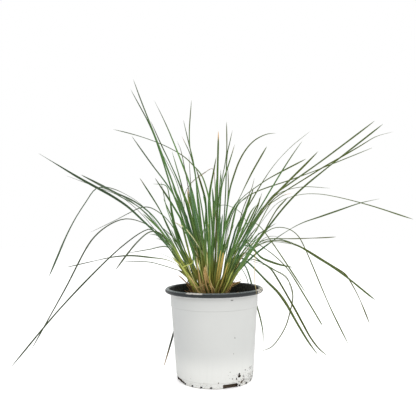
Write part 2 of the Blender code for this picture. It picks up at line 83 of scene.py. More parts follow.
# Potting mix: dark mix set in a slot to stand in for the shade there, the fill and its top, loose crumbs, and
# specks on the wall
PLUG_BLOCK = ((0.0262, 0.0072, 0.0074), 0.0630, 0.0009)
PLUG_RAISE = 0.0039
PLUG_LUMPS = (0.003, 0.0012)
SOIL_SIDES = 96
SOIL_CLEAR = 0.0004
SOIL_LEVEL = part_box("soil")[1].z
SOIL_SUNK = 0.0014
SOIL_RINGS = (0.0, 0.06, 0.13, 0.21, 0.30, 0.40, 0.52, 0.66, 0.82)
SOIL_LUMPS = ((0.016, 0.0030), (0.0035, 0.0016))
SOIL_FOOT = (FOOT_BAND[0] - 2 * WALL - 0.0014, FLOOR + 0.0004)
SOIL_DAMP = (0.019, 0.014, 0.010)
STUCK_DAMP = (0.006, 0.004, 0.003)
LOOSE_CRUMBS = 520
BARK_EVERY = 9
SPECKS_RIGHT, SPECKS_ROUND, SPECKS_FRONT = 130, 26, 60

# Crown and its uneven top, and how many inner leaves and husks stand on it
CROWN_CENTRE = (-0.008, 0.0)
CROWN_RADIUS = 0.030
CROWN_DOME = 0.0115
CROWN_LUMPS = (0.004, 0.0024)
ROOT_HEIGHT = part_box("crown")[1].z + 0.0003
INNER_LEAVES = 60
HUSKS = 90

# Where the photograph was taken from, and how far it leans over
EYE = Vector((-0.012, -0.865, 0.272))
PICTURE_LEAN = math.radians(0.6)
PICTURE_PIVOT = 0.082
PICTURE_WIDTH = 0.7625
PICTURE_SHIFT = (0.0027, 0.0498)
SENSOR = 36.0

# Studio: the floor's size and glow, and each light's name, place, aim, size and power
FLOOR_SIZE = 12.0
FLOOR_GLOW = 0.35
WHITE = (1.0, 1.0, 1.0, 1.0)
LIGHTS = (
    ("overhead", (0.3, -0.2, 2.2), (0.0, 0.0, 0.0), 2.4, 8.0),
    ("front", (0.7, -1.9, 0.9), (0.0, 0.0, 0.15), 1.0, 9.0),
)

# Leaf blanks: rows along and columns across, how thick they are, how much of them is sheath, and the
# angle from which their edges stay sharp
LEAF_GRID = (60, 8)
THIN_GRID = (40, 4)
SHORT_GRID = (20, 4)
BLADE_THICKNESS = 0.17
SHEATH_SHARE = 0.2
SHEATH_LENGTH = 0.060
BLADE_ANGLE = 60

# Points along the routes, and the half width past which a leaf is turned to the viewer
ROUTE_POINTS = 72
TRACED_POINTS = 48
INNER_POINTS = 24
HUSK_POINTS = 12
WIDEST = 0.0023

# Each leaf finish: slot in the record, the blade in shadow and in light, the sheath, share of dry tips
LEAF_COLOURS = {
    "blue": ("leaf_blue", (0.040, 0.102, 0.040), (0.136, 0.254, 0.112), (0.500, 0.520, 0.110), 0.0),
    "green": ("leaf_green", (0.044, 0.106, 0.026), (0.158, 0.278, 0.080), (0.640, 0.620, 0.110), 0.03),
    "fresh": ("leaf_green", (0.044, 0.112, 0.028), (0.150, 0.292, 0.084), (0.620, 0.620, 0.110), 0.0),
    "olive": ("leaf_olive", (0.042, 0.086, 0.022), (0.140, 0.210, 0.064), (0.620, 0.580, 0.130), 0.0),
    "dry": ("leaf_green", (0.042, 0.102, 0.018), (0.160, 0.270, 0.060), (0.600, 0.590, 0.110), 1.0),
    "burnt": ("leaf_green", (0.042, 0.102, 0.018), (0.160, 0.270, 0.060), (0.600, 0.590, 0.110), 1.0),
    "faded": ("leaf_straw", (0.052, 0.062, 0.050), (0.110, 0.122, 0.098), (0.400, 0.300, 0.110), 1.0),
    "straw": ("leaf_straw", (0.420, 0.310, 0.120), (0.700, 0.600, 0.320), (0.540, 0.400, 0.150), 0.60),
    "pale": ("leaf_straw", (0.440, 0.430, 0.200), (0.720, 0.720, 0.420), (0.520, 0.460, 0.160), 0.30),
    "lime": ("leaf_green", (0.280, 0.360, 0.070), (0.500, 0.580, 0.180), (0.480, 0.500, 0.110), 0.30),
    "ochre": ("leaf_straw", (0.360, 0.250, 0.050), (0.600, 0.450, 0.140), (0.480, 0.360, 0.085), 0.30),
    "brown": ("crown", (0.190, 0.095, 0.038), (0.480, 0.310, 0.150), (0.380, 0.220, 0.085), 0.0),
    "husk": ("leaf_straw", (0.170, 0.100, 0.036), (0.560, 0.390, 0.190), (0.460, 0.300, 0.110), 0.0),
}
DEAD_TIPS = {"dry": (0.60, 0.36, 0.16), "burnt": (0.030, 0.018, 0.010)}
USUAL_DEAD_TIP = (0.34, 0.21, 0.09)
DRY_STREAKS = ((0.26, 0.155, 0.050), (0.64, 0.47, 0.21))
# Painted shadow laid over the very root of each leaf
ROOT_SHADOW = (0.050, 0.036, 0.018)

# Old parts of a leaf: greyer at the left of the plant, more olive from its middle to the right
OLD_LEFT = ((0.040, 0.045, 0.032), (0.088, 0.096, 0.072))
OLD_RIGHT = ((0.054, 0.058, 0.002), (0.118, 0.123, 0.010))

# Leaves of the frame that have another finish than their slot's own
FINISH_OF_LEAF = {7: "faded", 24: "dry", 57: "pale"}
FINISH_OF_LEAF.update({number: "fresh" for number in (12, 13, 16, 17, 18, 19, 21, 22, 23, 25, 28, 32)})

# How wide some leaves are beside their solids: (share of the length, width), both in percent
USUAL_TRIM = ((60, 100), (90, 100))
LEAF_TRIMS = {
    1: ((10, 50), (30, 72), (50, 95), (62, 110), (70, 85), (85, 90), (95, 115)),
    2: ((10, 50), (30, 72), (50, 98), (62, 115), (75, 95), (85, 75), (95, 110)),
    3: ((10, 40), (25, 52), (50, 85), (75, 70), (85, 100), (95, 200)),
    4: ((20, 50), (60, 75), (80, 100), (95, 160)),
    5: ((25, 50), (40, 120), (60, 120), (80, 70)),
    6: ((30, 55), (50, 125), (65, 95), (75, 60), (82, 35), (95, 95)),
    7: ((50, 100), (70, 150), (95, 120)),
    8: ((10, 40), (30, 62), (45, 95), (65, 105), (80, 85), (95, 30)),
    9: ((10, 60), (40, 75), (60, 85), (75, 90), (85, 125)),
    10: ((10, 50), (30, 50), (50, 35), (70, 30), (85, 55), (95, 160)),
    11: ((20, 70), (40, 95), (50, 95), (60, 130), (72, 65), (95, 90)),
    12: ((30, 130), (70, 130), (90, 110)),
    13: ((30, 80), (45, 95), (60, 130), (70, 100), (95, 95)),
    14: ((30, 70), (40, 95), (60, 85), (75, 95), (90, 90)),
    15: ((40, 130), (60, 150), (75, 110), (95, 140)),
    16: ((40, 90), (50, 110), (70, 90), (85, 70), (95, 80)),
    17: ((40, 130), (50, 150), (60, 115), (75, 90), (85, 70)),
    18: ((40, 130), (50, 140), (60, 80), (75, 45), (95, 60)),
    19: ((30, 120), (60, 130), (85, 90), (95, 60)),
    20: ((40, 140), (55, 110), (70, 90), (85, 90), (95, 180)),
    21: ((40, 125), (70, 95), (90, 140)),
    22: ((50, 95), (80, 80), (95, 75)),
    24: ((50, 95), (75, 120), (90, 120)),
    25: ((50, 100), (62, 130), (72, 120), (85, 90)),
    26: ((40, 90), (55, 65), (65, 50), (80, 60), (95, 100)),
    27: ((40, 85), (60, 70), (75, 55), (90, 65)),
    28: ((30, 60), (50, 90), (70, 50), (95, 55)),
    29: ((40, 100), (60, 125), (95, 130)),
    30: ((40, 55), (65, 60), (75, 120), (95, 220)),
    31: ((30, 130), (40, 110), (50, 140), (60, 90), (75, 50), (95, 80)),
    32: ((30, 65), (40, 60), (50, 90), (60, 260), (70, 170), (90, 120)),
    33: ((40, 75), (60, 75), (75, 120), (95, 240)),
    34: ((30, 65), (60, 100), (80, 140)),
    35: ((30, 120), (40, 120), (50, 85), (70, 75), (85, 80), (95, 110)),
    36: ((40, 125), (60, 135), (70, 95), (95, 200)),
    37: ((40, 75), (70, 82), (85, 70), (95, 35)),
    38: ((30, 45), (50, 130), (70, 85), (95, 110)),
    39: ((30, 120), (50, 115), (60, 90), (80, 80), (95, 100)),
    40: ((30, 65), (60, 65), (90, 90)),
    41: ((15, 35), (30, 32), (40, 45), (50, 80), (60, 110), (85, 75), (95, 130)),
    42: ((20, 120), (30, 240), (40, 80), (52, 35), (65, 80), (75, 130), (95, 60)),
    43: ((10, 45), (30, 28), (55, 40), (75, 60), (90, 95), (95, 150)),
    44: ((10, 45), (30, 35), (50, 35), (65, 60), (75, 85), (85, 50), (95, 130)),
    45: ((10, 45), (35, 45), (52, 60), (65, 120), (85, 100), (95, 180)),
    46: ((10, 45), (35, 42), (55, 75), (65, 130), (75, 90), (87, 50), (95, 150)),
    47: ((10, 50), (30, 60), (45, 45), (70, 60), (80, 40), (95, 90)),
    48: ((25, 60), (40, 45), (60, 55), (75, 70), (90, 85)),
    49: ((10, 70), (30, 120), (40, 100), (50, 125), (65, 155), (85, 115), (95, 120)),
    50: ((10, 50), (30, 160), (45, 100), (55, 150), (75, 150), (85, 140), (95, 160)),
    51: ((20, 90), (30, 125), (40, 100), (60, 170), (75, 125), (95, 100)),
    52: ((40, 65), (55, 90), (65, 105), (80, 210), (95, 320)),
    53: ((50, 65), (70, 90), (95, 130)),
    54: ((10, 50), (25, 100), (40, 220), (55, 260), (70, 270), (77, 210), (84, 120), (95, 80)),
    55: ((10, 50), (40, 50), (60, 70), (80, 60)),
}

# Thin leaves between the frame's own. Each: finish, width, how far its root and its tip stand towards the
# viewer, and points (across, up[, toward]) in the upright plane, in millimetres, from clump to tip.
THIN_LEAVES = (
    ("olive", 1.1, -8, -60, (-45, 183), (-56, 192), (-71, 197), (-96, 205), (-122, 211), (-168, 212)),
    ("olive", 1.8, 5, 40, (-56, 192), (-75, 225), (-89, 239), (-118, 234), (-159, 227)),
    ("olive", 1.0, 8, 60, (-50, 195), (-85, 245), (-105, 259), (-120, 262)),
    ("olive", 1.0, -10, -80, (-48, 190), (-78, 235), (-98, 251), (-107, 254)),
    ("olive", 0.9, 3, 20, (-50, 185), (-70, 211), (-107, 232)),
    ("olive", 1.2, -12, -90, (-48, 190), (-90, 245), (-135, 300), (-173, 331), (-219, 349), (-237, 356),
     (-274, 370)),
    ("green", 1.6, -9, -70, (-46, 196), (-80, 240), (-112, 284), (-150, 320), (-190, 341), (-215, 349)),
    ("green", 1.5, 8, 60, (-26, 198), (-52, 290), (-69, 356), (-85, 390), (-100, 416)),
    ("green", 1.6, -13, -100, (-16, 210), (-30, 330), (-41, 398), (-60, 442)),
    ("green", 1.6, 6, 50, (-24, 200), (-48, 300), (-61, 354), (-67, 376), (-78, 414)),
    ("olive", 1.2, -5, -40, (-20, 200), (-45, 330), (-61, 413), (-69, 433)),
    ("olive", 1.4, 10, 80, (-20, 205), (-38, 300), (-44, 356), (-47, 407)),
    ("olive", 1.1, 8, 60, (-30, 200), (-52, 280), (-55, 330), (-44, 354), (-26, 370), (-4, 383)),
    ("green", 1.6, -4, -30, (12, 200), (20, 330), (23, 405), (28, 430), (33, 453)),
    ("green", 1.4, 8, 60, (6, 220), (10, 300), (12, 358), (11, 380)),
    ("green", 1.6, 6, 50, (18, 200), (30, 270), (43, 315), (63, 331)),
    ("olive", 1.2, -8, -60, (30, 210), (50, 300), (63, 334), (69, 348), (73, 365)),
    ("green", 1.6, 4, 30, (24, 200), (60, 270), (78, 308), (83, 325), (87, 338)),
    ("dry", 1.3, 8, 60, (34, 200), (70, 258), (102, 317), (111, 323), (126, 333), (142, 337)),
    ("olive", 1.6, -8, -60, (36, 190), (66, 230), (100, 250), (140, 246), (175, 230), (241, 188)),
    ("green", 1.1, 9, 70, (30, 195), (60, 232), (87, 245), (111, 248), (151, 242)),
    ("green", 1.2, -6, -50, (-6, 220), (-2, 290), (10, 314), (28, 313), (50, 299), (65, 266), (71, 246)),
    ("lime", 1.5, 26, 64, (-30, 166), (-39, 176), (-49, 189), (-58, 200), (-49, 205), (-41, 208), (-39, 215)),
    ("lime", 1.3, 6, 45, (-10, 250), (-14, 300), (-16, 334)),
    ("lime", 1.3, 5, 35, (-2, 250), (-3, 300), (-3, 328)),
    ("straw", 1.8, 5, 40, (-30, 220), (-44, 300), (-49, 330), (-50, 343)),
    ("brown", 2.0, 26, 40, (-30, 160), (-45, 167), (-52, 173), (-60, 181), (-67, 187)),
    ("straw", 1.8, 34, 50, (-34, 160), (-26, 166), (-16, 171)),
    ("straw", 1.2, 1, 10, (20, 158), (36, 167), (49, 176), (45, 183)),
    ("straw", 1.6, 3, 24, (16, 158), (32, 169), (39, 172), (47, 176)),
    ("straw", 1.1, 7, 52, (45, 211, 14), (62, 235, 26), (70, 246, 33), (74, 240, 38), (74, 211, 46),
     (73, 178, 52), (76, 160, 54), (77, 149, 54)),
    ("green", 2.6, 9, 62, (34, 211), (40, 233), (49, 249), (60, 246), (69, 235), (78, 226), (87, 218),
     (102, 212), (120, 206), (138, 202), (144, 201)),
    ("olive", 1.0, 6, 40, (39, 207), (50, 218), (74, 211), (93, 205), (102, 202), (113, 195), (126, 189),
     (135, 180), (138, 167), (142, 154), (144, 143)),
    ("olive", 0.8, 22, 44, (30, 182), (36, 193), (41, 189), (49, 176)),
    ("brown", 1.0, 10, 60, (3, 230), (2, 300), (0, 360), (-3, 383), (-23, 370), (-36, 361), (-44, 352)),
    ("olive", 1.3, 18, 70, (-30, 215), (-45, 251), (-60, 272), (-72, 284)),
    ("olive", 1.0, 6, 50, (34, 190), (62, 222), (87, 251), (98, 257), (111, 258), (120, 255)),
    ("olive", 1.2, -4, -30, (-52, 200), (-72, 229), (-89, 249), (-105, 260), (-118, 262)),
    ("olive", 1.2, 4, 30, (-49, 196), (-67, 222), (-83, 242), (-98, 252), (-107, 254)),
)

# Leaves of middle length that make up the thick of the clump, in the same form
MIDDLE_LEAVES = (
    ("green", 3.2, 2, 25, (-27, 211), (-39, 248), (-52, 284), (-63, 315), (-72, 337), (-78, 352)),
    ("blue", 3.4, -4, -35, (-25, 211), (-37, 248), (-49, 284), (-59, 312), (-67, 332), (-72, 343)),
    ("green", 3.0, 8, 60, (-28, 207), (-43, 244), (-56, 281), (-66, 312), (-76, 339)),
    ("burnt", 3.8, 14, 75, (-21, 211), (-34, 255), (-42, 288), (-49, 315), (-55, 330), (-60, 346),
     (-62, 358)),
    ("dry", 3.6, -2, -15, (-19, 211), (-30, 255), (-38, 292), (-44, 315), (-48, 332), (-49, 345)),
    ("blue", 3.4, 10, 75, (-16, 211), (-27, 255), (-34, 288), (-39, 315), (-43, 337), (-46, 358)),
    ("green", 3.0, -10, -70, (-21, 204), (-28, 233), (-35, 266), (-38, 288), (-42, 314)),
    ("green", 2.6, 14, 90, (-14, 215), (-21, 251), (-26, 284), (-28, 310), (-32, 339), (-34, 361)),
    ("blue", 3.4, 4, 30, (-5, 211), (-3, 251), (-1, 288), (2, 315), (3, 343), (3, 365)),
    ("green", 2.4, -8, -50, (-3, 211), (1, 251), (5, 288), (7, 315), (9, 339), (12, 381)),
    ("green", 3.4, 12, 80, (-6, 211), (-4, 251), (-2, 284), (-1, 306), (-3, 328), (-4, 347)),
    ("blue", 3.0, -2, -20, (9, 211), (9, 251), (9, 279), (9, 303), (8, 321)),
    ("green", 2.6, 6, 50, (10, 211), (14, 246), (19, 273), (28, 297), (39, 317), (49, 328)),
    ("green", 2.2, 14, 90, (6, 211), (15, 251), (21, 273), (27, 292)),
    ("green", 2.4, -14, -90, (-12, 211), (-11, 242), (-10, 270), (-9, 297), (-8, 319), (-10, 337)),
    ("blue", 2.4, 16, 95, (-16, 211), (-16, 242), (-14, 270), (-15, 297), (-16, 314), (-21, 332)),
    ("green", 3.0, 8, 55, (-34, 187), (-49, 218), (-61, 249), (-69, 270), (-78, 292), (-87, 312), (-94, 328)),
    ("olive", 1.8, 14, 80, (-32, 182), (-54, 218), (-72, 251), (-89, 268), (-100, 277)),
    ("green", 2.6, 4, 35, (30, 211), (39, 237), (49, 257), (60, 277), (69, 295), (76, 310), (81, 319),
     (83, 330)),
    ("green", 2.6, -4, -30, (32, 211), (43, 235), (54, 255), (65, 273), (74, 290), (83, 304), (89, 314)),
    ("green", 3.2, 8, 55, (27, 211), (34, 233), (43, 262), (50, 288), (56, 303), (61, 317), (65, 328),
     (71, 345)),
    ("green", 2.0, -8, -55, (25, 211), (30, 229), (38, 251), (43, 271), (48, 284)),
    ("green", 4.4, 20, 60, (33, 178), (48, 199), (58, 215), (67, 229), (78, 246), (87, 260), (94, 271)),
    ("blue", 2.2, 12, 70, (30, 180), (44, 200), (54, 216), (64, 233), (74, 251), (82, 266)),
    ("green", 2.2, 14, 95, (28, 211), (39, 240), (47, 259), (58, 284), (67, 303), (76, 315)),
    ("green", 4.0, 7, 50, (-34, 193), (-44, 216), (-50, 238), (-56, 262), (-61, 284), (-69, 304)),
    ("blue", 3.2, 11, 70, (-28, 193), (-38, 224), (-46, 251), (-50, 273), (-56, 295), (-61, 315)),
    ("green", 2.4, -6, -40, (-34, 185), (-49, 211), (-61, 233), (-71, 251), (-80, 271)),
    ("green", 2.6, 10, 65, (27, 207), (33, 233), (39, 255), (47, 277), (56, 299)),
    ("blue", 3.6, 3, 25, (22, 207), (27, 229), (34, 251), (39, 270), (47, 290)),
    ("green", 3.2, 6, 45, (12, 204), (19, 229), (26, 251), (32, 275), (38, 301), (43, 319)),
    ("green", 2.0, 12, 75, (39, 211), (60, 238), (78, 259), (96, 271), (113, 282)),
    ("green", 2.2, 16, 92, (10, 207), (9, 237), (8, 255), (9, 273), (12, 295)),
    ("green", 4.0, 9, 60, (-45, 191), (-54, 215), (-63, 238), (-70, 259), (-75, 279), (-79, 301), (-82, 323)),
    ("blue", 2.4, 5, 40, (-41, 193), (-50, 216), (-60, 237), (-66, 253), (-71, 270), (-75, 286)),
    ("green", 2.8, 13, 85, (-4, 196), (-3, 233), (-2, 259), (-1, 284), (1, 312), (2, 336)),
    ("blue", 3.0, 18, 98, (9, 200), (9, 229), (7, 251), (7, 273), (9, 297), (10, 319)),
    ("green", 2.2, 2, 20, (10, 207), (14, 235), (16, 255), (19, 275), (22, 295)),
    ("green", 1.6, 14, 85, (-16, 200), (-17, 233), (-18, 259), (-17, 284), (-16, 310)),
    ("olive", 1.5, 8, 62, (-52, 193), (-63, 215), (-76, 238), (-91, 260), (-105, 277)),
    ("green", 2.0, 14, 78, (36, 211), (52, 237), (63, 251), (72, 262), (82, 275)),
    ("blue", 3.0, 9, 60, (-38, 176), (-41, 193), (-40, 211), (-39, 233), (-42, 255), (-47, 277), (-51, 299)),
    ("green", 2.0, 12, 72, (-49, 189), (-61, 215), (-72, 237), (-82, 255), (-93, 271)),
    ("blue", 3.0, 10, 62, (9, 211), (10, 237), (11, 257), (12, 277), (15, 299)),
)

# Dead and pale strands at the foot of the clump, in the same form
FOOT_STRANDS = (
    ("lime", 3.0, 26, 56, (-34, 158), (-42, 172), (-49, 185), (-57, 198), (-65, 211)),
    ("straw", 2.4, 32, 58, (-31, 158), (-36, 167), (-42, 178), (-49, 187)),
    ("husk", 5.6, 34, 56, (-5, 158), (-9, 169), (-13, 178), (-16, 189), (-19, 202)),
    ("brown", 3.0, 32, 48, (-19, 158), (-21, 172), (-22, 187)),
    ("straw", 2.2, 34, 58, (0, 158), (-5, 167), (-9, 178), (-14, 193), (-17, 207)),
    ("straw", 2.0, 30, 60, (-23, 163), (-28, 185), (-31, 200), (-32, 211), (-33, 220)),
    ("lime", 1.4, 30, 60, (-18, 167), (-24, 189), (-27, 202), (-28, 215)),
    ("ochre", 3.4, 28, 62, (5, 163), (8, 185), (11, 200), (14, 215), (16, 229)),
    ("ochre", 2.2, 26, 60, (2, 163), (5, 185), (7, 200), (10, 218), (12, 233)),
    ("ochre", 1.8, 30, 58, (8, 158), (14, 174), (19, 189), (23, 204), (25, 216)),
    ("lime", 2.4, 28, 52, (17, 158), (25, 174), (30, 187), (37, 200)),
    ("lime", 1.8, 32, 50, (2, 158), (5, 169), (9, 180)),
    ("pale", 1.2, 28, 56, (-35, 171), (-41, 185), (-47, 198), (-52, 211)),
    ("pale", 1.2, 30, 60, (-8, 174), (-12, 193), (-13, 211), (-14, 229)),
    ("husk", 3.6, 33, 54, (-12, 158), (-16, 169), (-18, 182), (-20, 194)),
    ("husk", 2.0, 33, 54, (-25, 158), (-27, 171), (-28, 183), (-30, 198)),
    ("brown", 2.2, 18, 30, (25, 158), (32, 167), (39, 172), (47, 175)),
    ("straw", 1.6, 20, 30, (27, 161), (32, 170), (38, 176), (43, 178)),
)

# Open places in the clump that show white between the leaves, as (across, up) in millimetres
OPEN_REACH = 0.0045
OPEN_PLACES = (
    (-58, 255), (-54, 240), (-37, 191), (-35, 200), (-32, 224), (-18, 240), (-8, 201), (17, 200), (13, 178),
    (22, 218), (43, 205), (36, 191), (13, 260), (-14, 272), (27, 235), (48, 218), (-107, 246), (-96, 238),
    (-100, 230), (-85, 229), (-59, 262), (59, 200), (67, 211), (4, 226), (-57, 184),
)

# Potting mix stuck to the pot's wall: angle from the front, height, width, depth along the wall, turn
STUCK_CRUMBS = (
    (35.2, 19.4, 6.6, 4.6, 0), (35.0, 22.8, 3.4, 4.8, 8), (40.6, 8.2, 7.0, 3.2, 42),
    (43.6, 11.6, 4.6, 1.2, 40), (30.4, 16.1, 3.8, 1.5, 55), (24.0, 16.8, 2.2, 1.7, 0),
    (4.0, 11.7, 2.0, 1.9, 0), (52.4, 2.4, 4.4, 2.2, 10), (66.0, 4.6, 5.0, 2.4, 30),
    (58.6, 28.8, 2.6, 2.2, 0), (46.3, 27.6, 2.2, 1.9, 0), (26.3, 87.0, 1.9, 1.6, 0),
    (32.0, 4.2, 6.0, 3.0, 12), (-76.3, 5.3, 4.2, 2.6, -30), (61.0, 10.5, 3.6, 1.8, 20),
    (70.0, 9.0, 3.0, 3.0, 0), (-54.0, 4.6, 8.0, 3.8, -14), (25.0, 60.0, 1.2, 1.1, 0),
)


# Small helpers


def choose(*pieces):
    """Selects these pieces and no others; the first is the active one."""
    if bpy.context.object and bpy.context.object.mode != "OBJECT":
        bpy.ops.object.mode_set(mode="OBJECT")
    bpy.ops.object.select_all(action="DESELECT")
    for piece in pieces:
        piece.select_set(True)
    if pieces:
        bpy.context.view_layer.objects.active = pieces[0]


def named(name):
    """The object just added, under its own name."""
    piece = bpy.context.object
    piece.name = name
    piece.data.name = name
    return piece


@contextmanager
def editing(piece, kind, test):
    """The piece opened for editing, with those of its vertices or polygons selected that pass the test."""
    choose(piece)
    bpy.context.tool_settings.mesh_select_mode = (kind == "vertices", False, kind == "polygons")
    bpy.ops.object.mode_set(mode="EDIT")
    bpy.ops.mesh.select_all(action="DESELECT")
    bpy.ops.object.mode_set(mode="OBJECT")
    for part in getattr(piece.data, kind):
        part.select = test(part)
    bpy.ops.object.mode_set(mode="EDIT")
    yield
    bpy.ops.object.mode_set(mode="OBJECT")


def editing_points(piece, test=lambda place: True):
    return editing(piece, "vertices", lambda point: test(point.co))


def editing_top(piece):
    return editing(piece, "polygons", lambda face: face.normal.z > 0.9)


def resize(x, y, z, **values):
    bpy.ops.transform.resize(value=(x, y, z), center_override=(0.0, 0.0, 0.0), **values)


def move(x, y, z, **values):
    bpy.ops.transform.translate(value=(x, y, z), **values)


def apply_modifier(piece, modifier):
    choose(piece)
    bpy.ops.object.modifier_apply(modifier=modifier.name)


def apply_places(*pieces):
    choose(*pieces)
    bpy.ops.object.transform_apply(location=True, rotation=True, scale=True)


def joined(pieces, name):
    """Joins the pieces into one mesh of that name."""
    choose(*pieces)
    bpy.ops.object.join()
    return named(name)


def smooth(piece, degrees):
    choose(piece)
    bpy.ops.object.shade_smooth_by_angle(angle=math.radians(degrees))


def own_copy(piece, name):
    copy = piece.copy()
    copy.data = piece.data.copy()
    copy.name = name
    copy.data.name = name
    bpy.context.collection.objects.link(copy)
    return copy


def discard(*pieces):
    for piece in pieces:
        bpy.data.objects.remove(piece, do_unlink=True)


def set_finish(piece, *materials):
    piece.data.materials.clear()
    for material in materials:
        piece.data.materials.append(material)


def hand_in(piece, slot, *nodes):
    """The piece rides with the pot and stands for those nodes; the slot is not used."""
    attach(piece, "root")
    if nodes:
        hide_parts(*nodes)


def roughened(piece, size, depth, middle, **values):
    """Raises and sinks the piece's surface in lumps of that size."""
    texture = bpy.data.textures.new(f"{piece.name}_lumps", "CLOUDS")
    texture.noise_scale = size
    rough = piece.modifiers.new("lumps", "DISPLACE")
    rough.texture = texture
    rough.texture_coords = "LOCAL"
    rough.strength = depth
    rough.mid_level = middle
    for key, value in values.items():
        setattr(rough, key, value)
    apply_modifier(piece, rough)


def turned(name, sides, foot, outline):
    """A disc at the foot (radius, height), its top drawn up along the outline's (radius, height) points."""
    choose()
    tall = outline[0][1] - foot[1]
    bpy.ops.mesh.primitive_cylinder_add(vertices=sides, radius=foot[0], depth=tall,
                                        location=(0.0, 0.0, foot[1] + tall / 2), end_fill_type="NGON")
    piece = named(name)
    apply_places(piece)
    with editing_top(piece):
        grown = outline[0][0] / foot[0]
        resize(grown, grown, 1.0)
        for (radius, height), (next_radius, next_height) in zip(outline, outline[1:]):
            rise = (0.0, 0.0, next_height - height)
            bpy.ops.mesh.extrude_region_move(TRANSFORM_OT_translate={"value": rise})
            grown = next_radius / radius
            resize(grown, grown, 1.0)
    return piece


# Node trees for the finishes


class Finish:
    """A material built up node by node; its tint is the colour that the next layer is laid over."""

    def __init__(self, name, roughness, specular):
        self.material = bpy.data.materials.new(name)
        self.material.use_nodes = True
        self.tree = self.material.node_tree
        self.shader = self.tree.nodes["Principled BSDF"]
        self.shader.inputs["Roughness"].default_value = roughness
        self.shader.inputs["Specular IOR Level"].default_value = specular
        self.tint = None

    def add(self, kind, **values):
        node = self.tree.nodes.new(kind)
        for key, value in values.items():
            setattr(node, key, value)
        return node

    def wire(self, target, value):
        """Links a socket, or sets a number or a linear (red, green, blue)."""
        if isinstance(value, bpy.types.NodeSocket):
            self.tree.links.new(value, target)
        else:
            target.default_value = value if isinstance(value, (int, float)) else (*value, 1.0)

    def place(self):
        return self.add("ShaderNodeTexCoord").outputs["Object"]

    def attribute(self, name):
        return self.add("ShaderNodeAttribute", attribute_name=name).outputs["Fac"]

    def split(self, vector):
        node = self.add("ShaderNodeSeparateXYZ")
        self.wire(node.inputs[0], vector)
        return node.outputs

    def join(self, x, y, z):
        node = self.add("ShaderNodeCombineXYZ")
        for socket, value in zip(node.inputs, (x, y, z)):
            self.wire(socket, value)
        return node.outputs[0]

    def maths(self, operation, a, b=0.0):
        node = self.add("ShaderNodeMath", operation=operation)
        self.wire(node.inputs[0], a)
        self.wire(node.inputs[1], b)
        return node.outputs[0]

    def times(self, *values):
        return reduce(lambda a, b: self.maths("MULTIPLY", a, b), values)

    def plus(self, *values):
        return reduce(lambda a, b: self.maths("ADD", a, b), values)

    def off(self, value, middle):
        """How far the value is from the middle one."""
        return self.maths("ABSOLUTE", self.maths("SUBTRACT", value, middle))

    def part(self, value, count):
        """A share from 0 to 1 that follows from the value but looks like chance."""
        return self.maths("FRACT", self.times(value, count))

    def ramp(self, value, low, high, out_low=0.0, out_high=1.0):
        """The value between two limits, made a smooth step from one result to the other."""
        node = self.add("ShaderNodeMapRange", interpolation_type="SMOOTHSTEP")
        for key, number in zip(("Value", "From Min", "From Max", "To Min", "To Max"),
                               (value, low, high, out_low, out_high)):
            self.wire(node.inputs[key], number)
        return node.outputs[0]

    def noise(self, vector, scale, detail=3.0, roughness=0.5):
        node = self.add("ShaderNodeTexNoise")
        self.wire(node.inputs["Vector"], vector)
        for key, number in (("Scale", scale), ("Detail", detail), ("Roughness", roughness)):
            node.inputs[key].default_value = number
        return node.outputs["Fac"]

    def cells(self, vector, scale):
        node = self.add("ShaderNodeTexVoronoi")
        self.wire(node.inputs["Vector"], vector)
        node.inputs["Scale"].default_value = scale
        return node.outputs

    def blend(self, share, first, second):
        node = self.add("ShaderNodeMix", data_type="RGBA")
        for number, value in ((0, share), (6, first), (7, second)):
            self.wire(node.inputs[number], value)
        return node.outputs[2]

    def over(self, share, colour):
        """Lays a share of the colour over the tint."""
        self.tint = self.blend(share, self.tint, colour)

    def bump(self, height, depth, strength):
        """Raises the surface by up to depth, in metres."""
        node = self.add("ShaderNodeBump")
        node.inputs["Strength"].default_value = strength
        node.inputs["Distance"].default_value = depth
        self.wire(node.inputs["Height"], height)
        self.wire(self.shader.inputs["Normal"], node.outputs[0])

    def done(self, roughness=None):
        self.wire(self.shader.inputs["Base Color"], self.tint)
        if roughness:
            self.wire(self.shader.inputs["Roughness"], roughness)
        return self.material


# Camera, floor and light


def make_camera():
    data = bpy.data.cameras.new("camera")
    data.sensor_width = SENSOR
    data.lens = SENSOR * -EYE.y / PICTURE_WIDTH
    data.shift_x, data.shift_y = PICTURE_SHIFT
    camera = bpy.data.objects.new("camera", data)
    bpy.context.collection.objects.link(camera)
    turn = Matrix.Rotation(math.radians(90), 4, "X") @ Matrix.Rotation(-PICTURE_LEAN, 4, "Z")
    camera.matrix_world = Matrix.Translation(EYE) @ turn
    bpy.context.scene.camera = camera


def make_light(name, place, aim, size, power):
    data = bpy.data.lights.new(name, "AREA")
    data.shape = "DISK"
    data.size = size
    data.energy = power
    light = bpy.data.objects.new(name, data)
    light.location = place
    light.rotation_euler = (Vector(aim) - Vector(place)).to_track_quat("-Z", "Y").to_euler()
    bpy.context.collection.objects.link(light)


def make_studio():
    choose()
    bpy.ops.mesh.primitive_plane_add(size=FLOOR_SIZE, location=(0.0, 0.0, 0.0))
    floor = named("floor")
    finish = Finish("floor_paper", 0.9, 0.0)
    finish.tint = (0.90, 0.90, 0.90)
    finish.shader.inputs["Emission Color"].default_value = WHITE
    finish.shader.inputs["Emission Strength"].default_value = FLOOR_GLOW
    set_finish(floor, finish.done())
    world = bpy.data.worlds.new("studio")
    world.use_nodes = True
    background = world.node_tree.nodes["Background"]
    background.inputs["Color"].default_value = WHITE
    background.inputs["Strength"].default_value = 1.0
    bpy.context.scene.world = world
    bpy.context.scene.view_settings.view_transform = "Standard"
    for light in LIGHTS:
        make_light(*light)


# Pot


def past(point, *steps):
    """Points of the outline that lie these steps (out, up), in millimetres, past the given one."""
    return [(point[0] + out * MM, point[1] + up * MM) for out, up in steps]


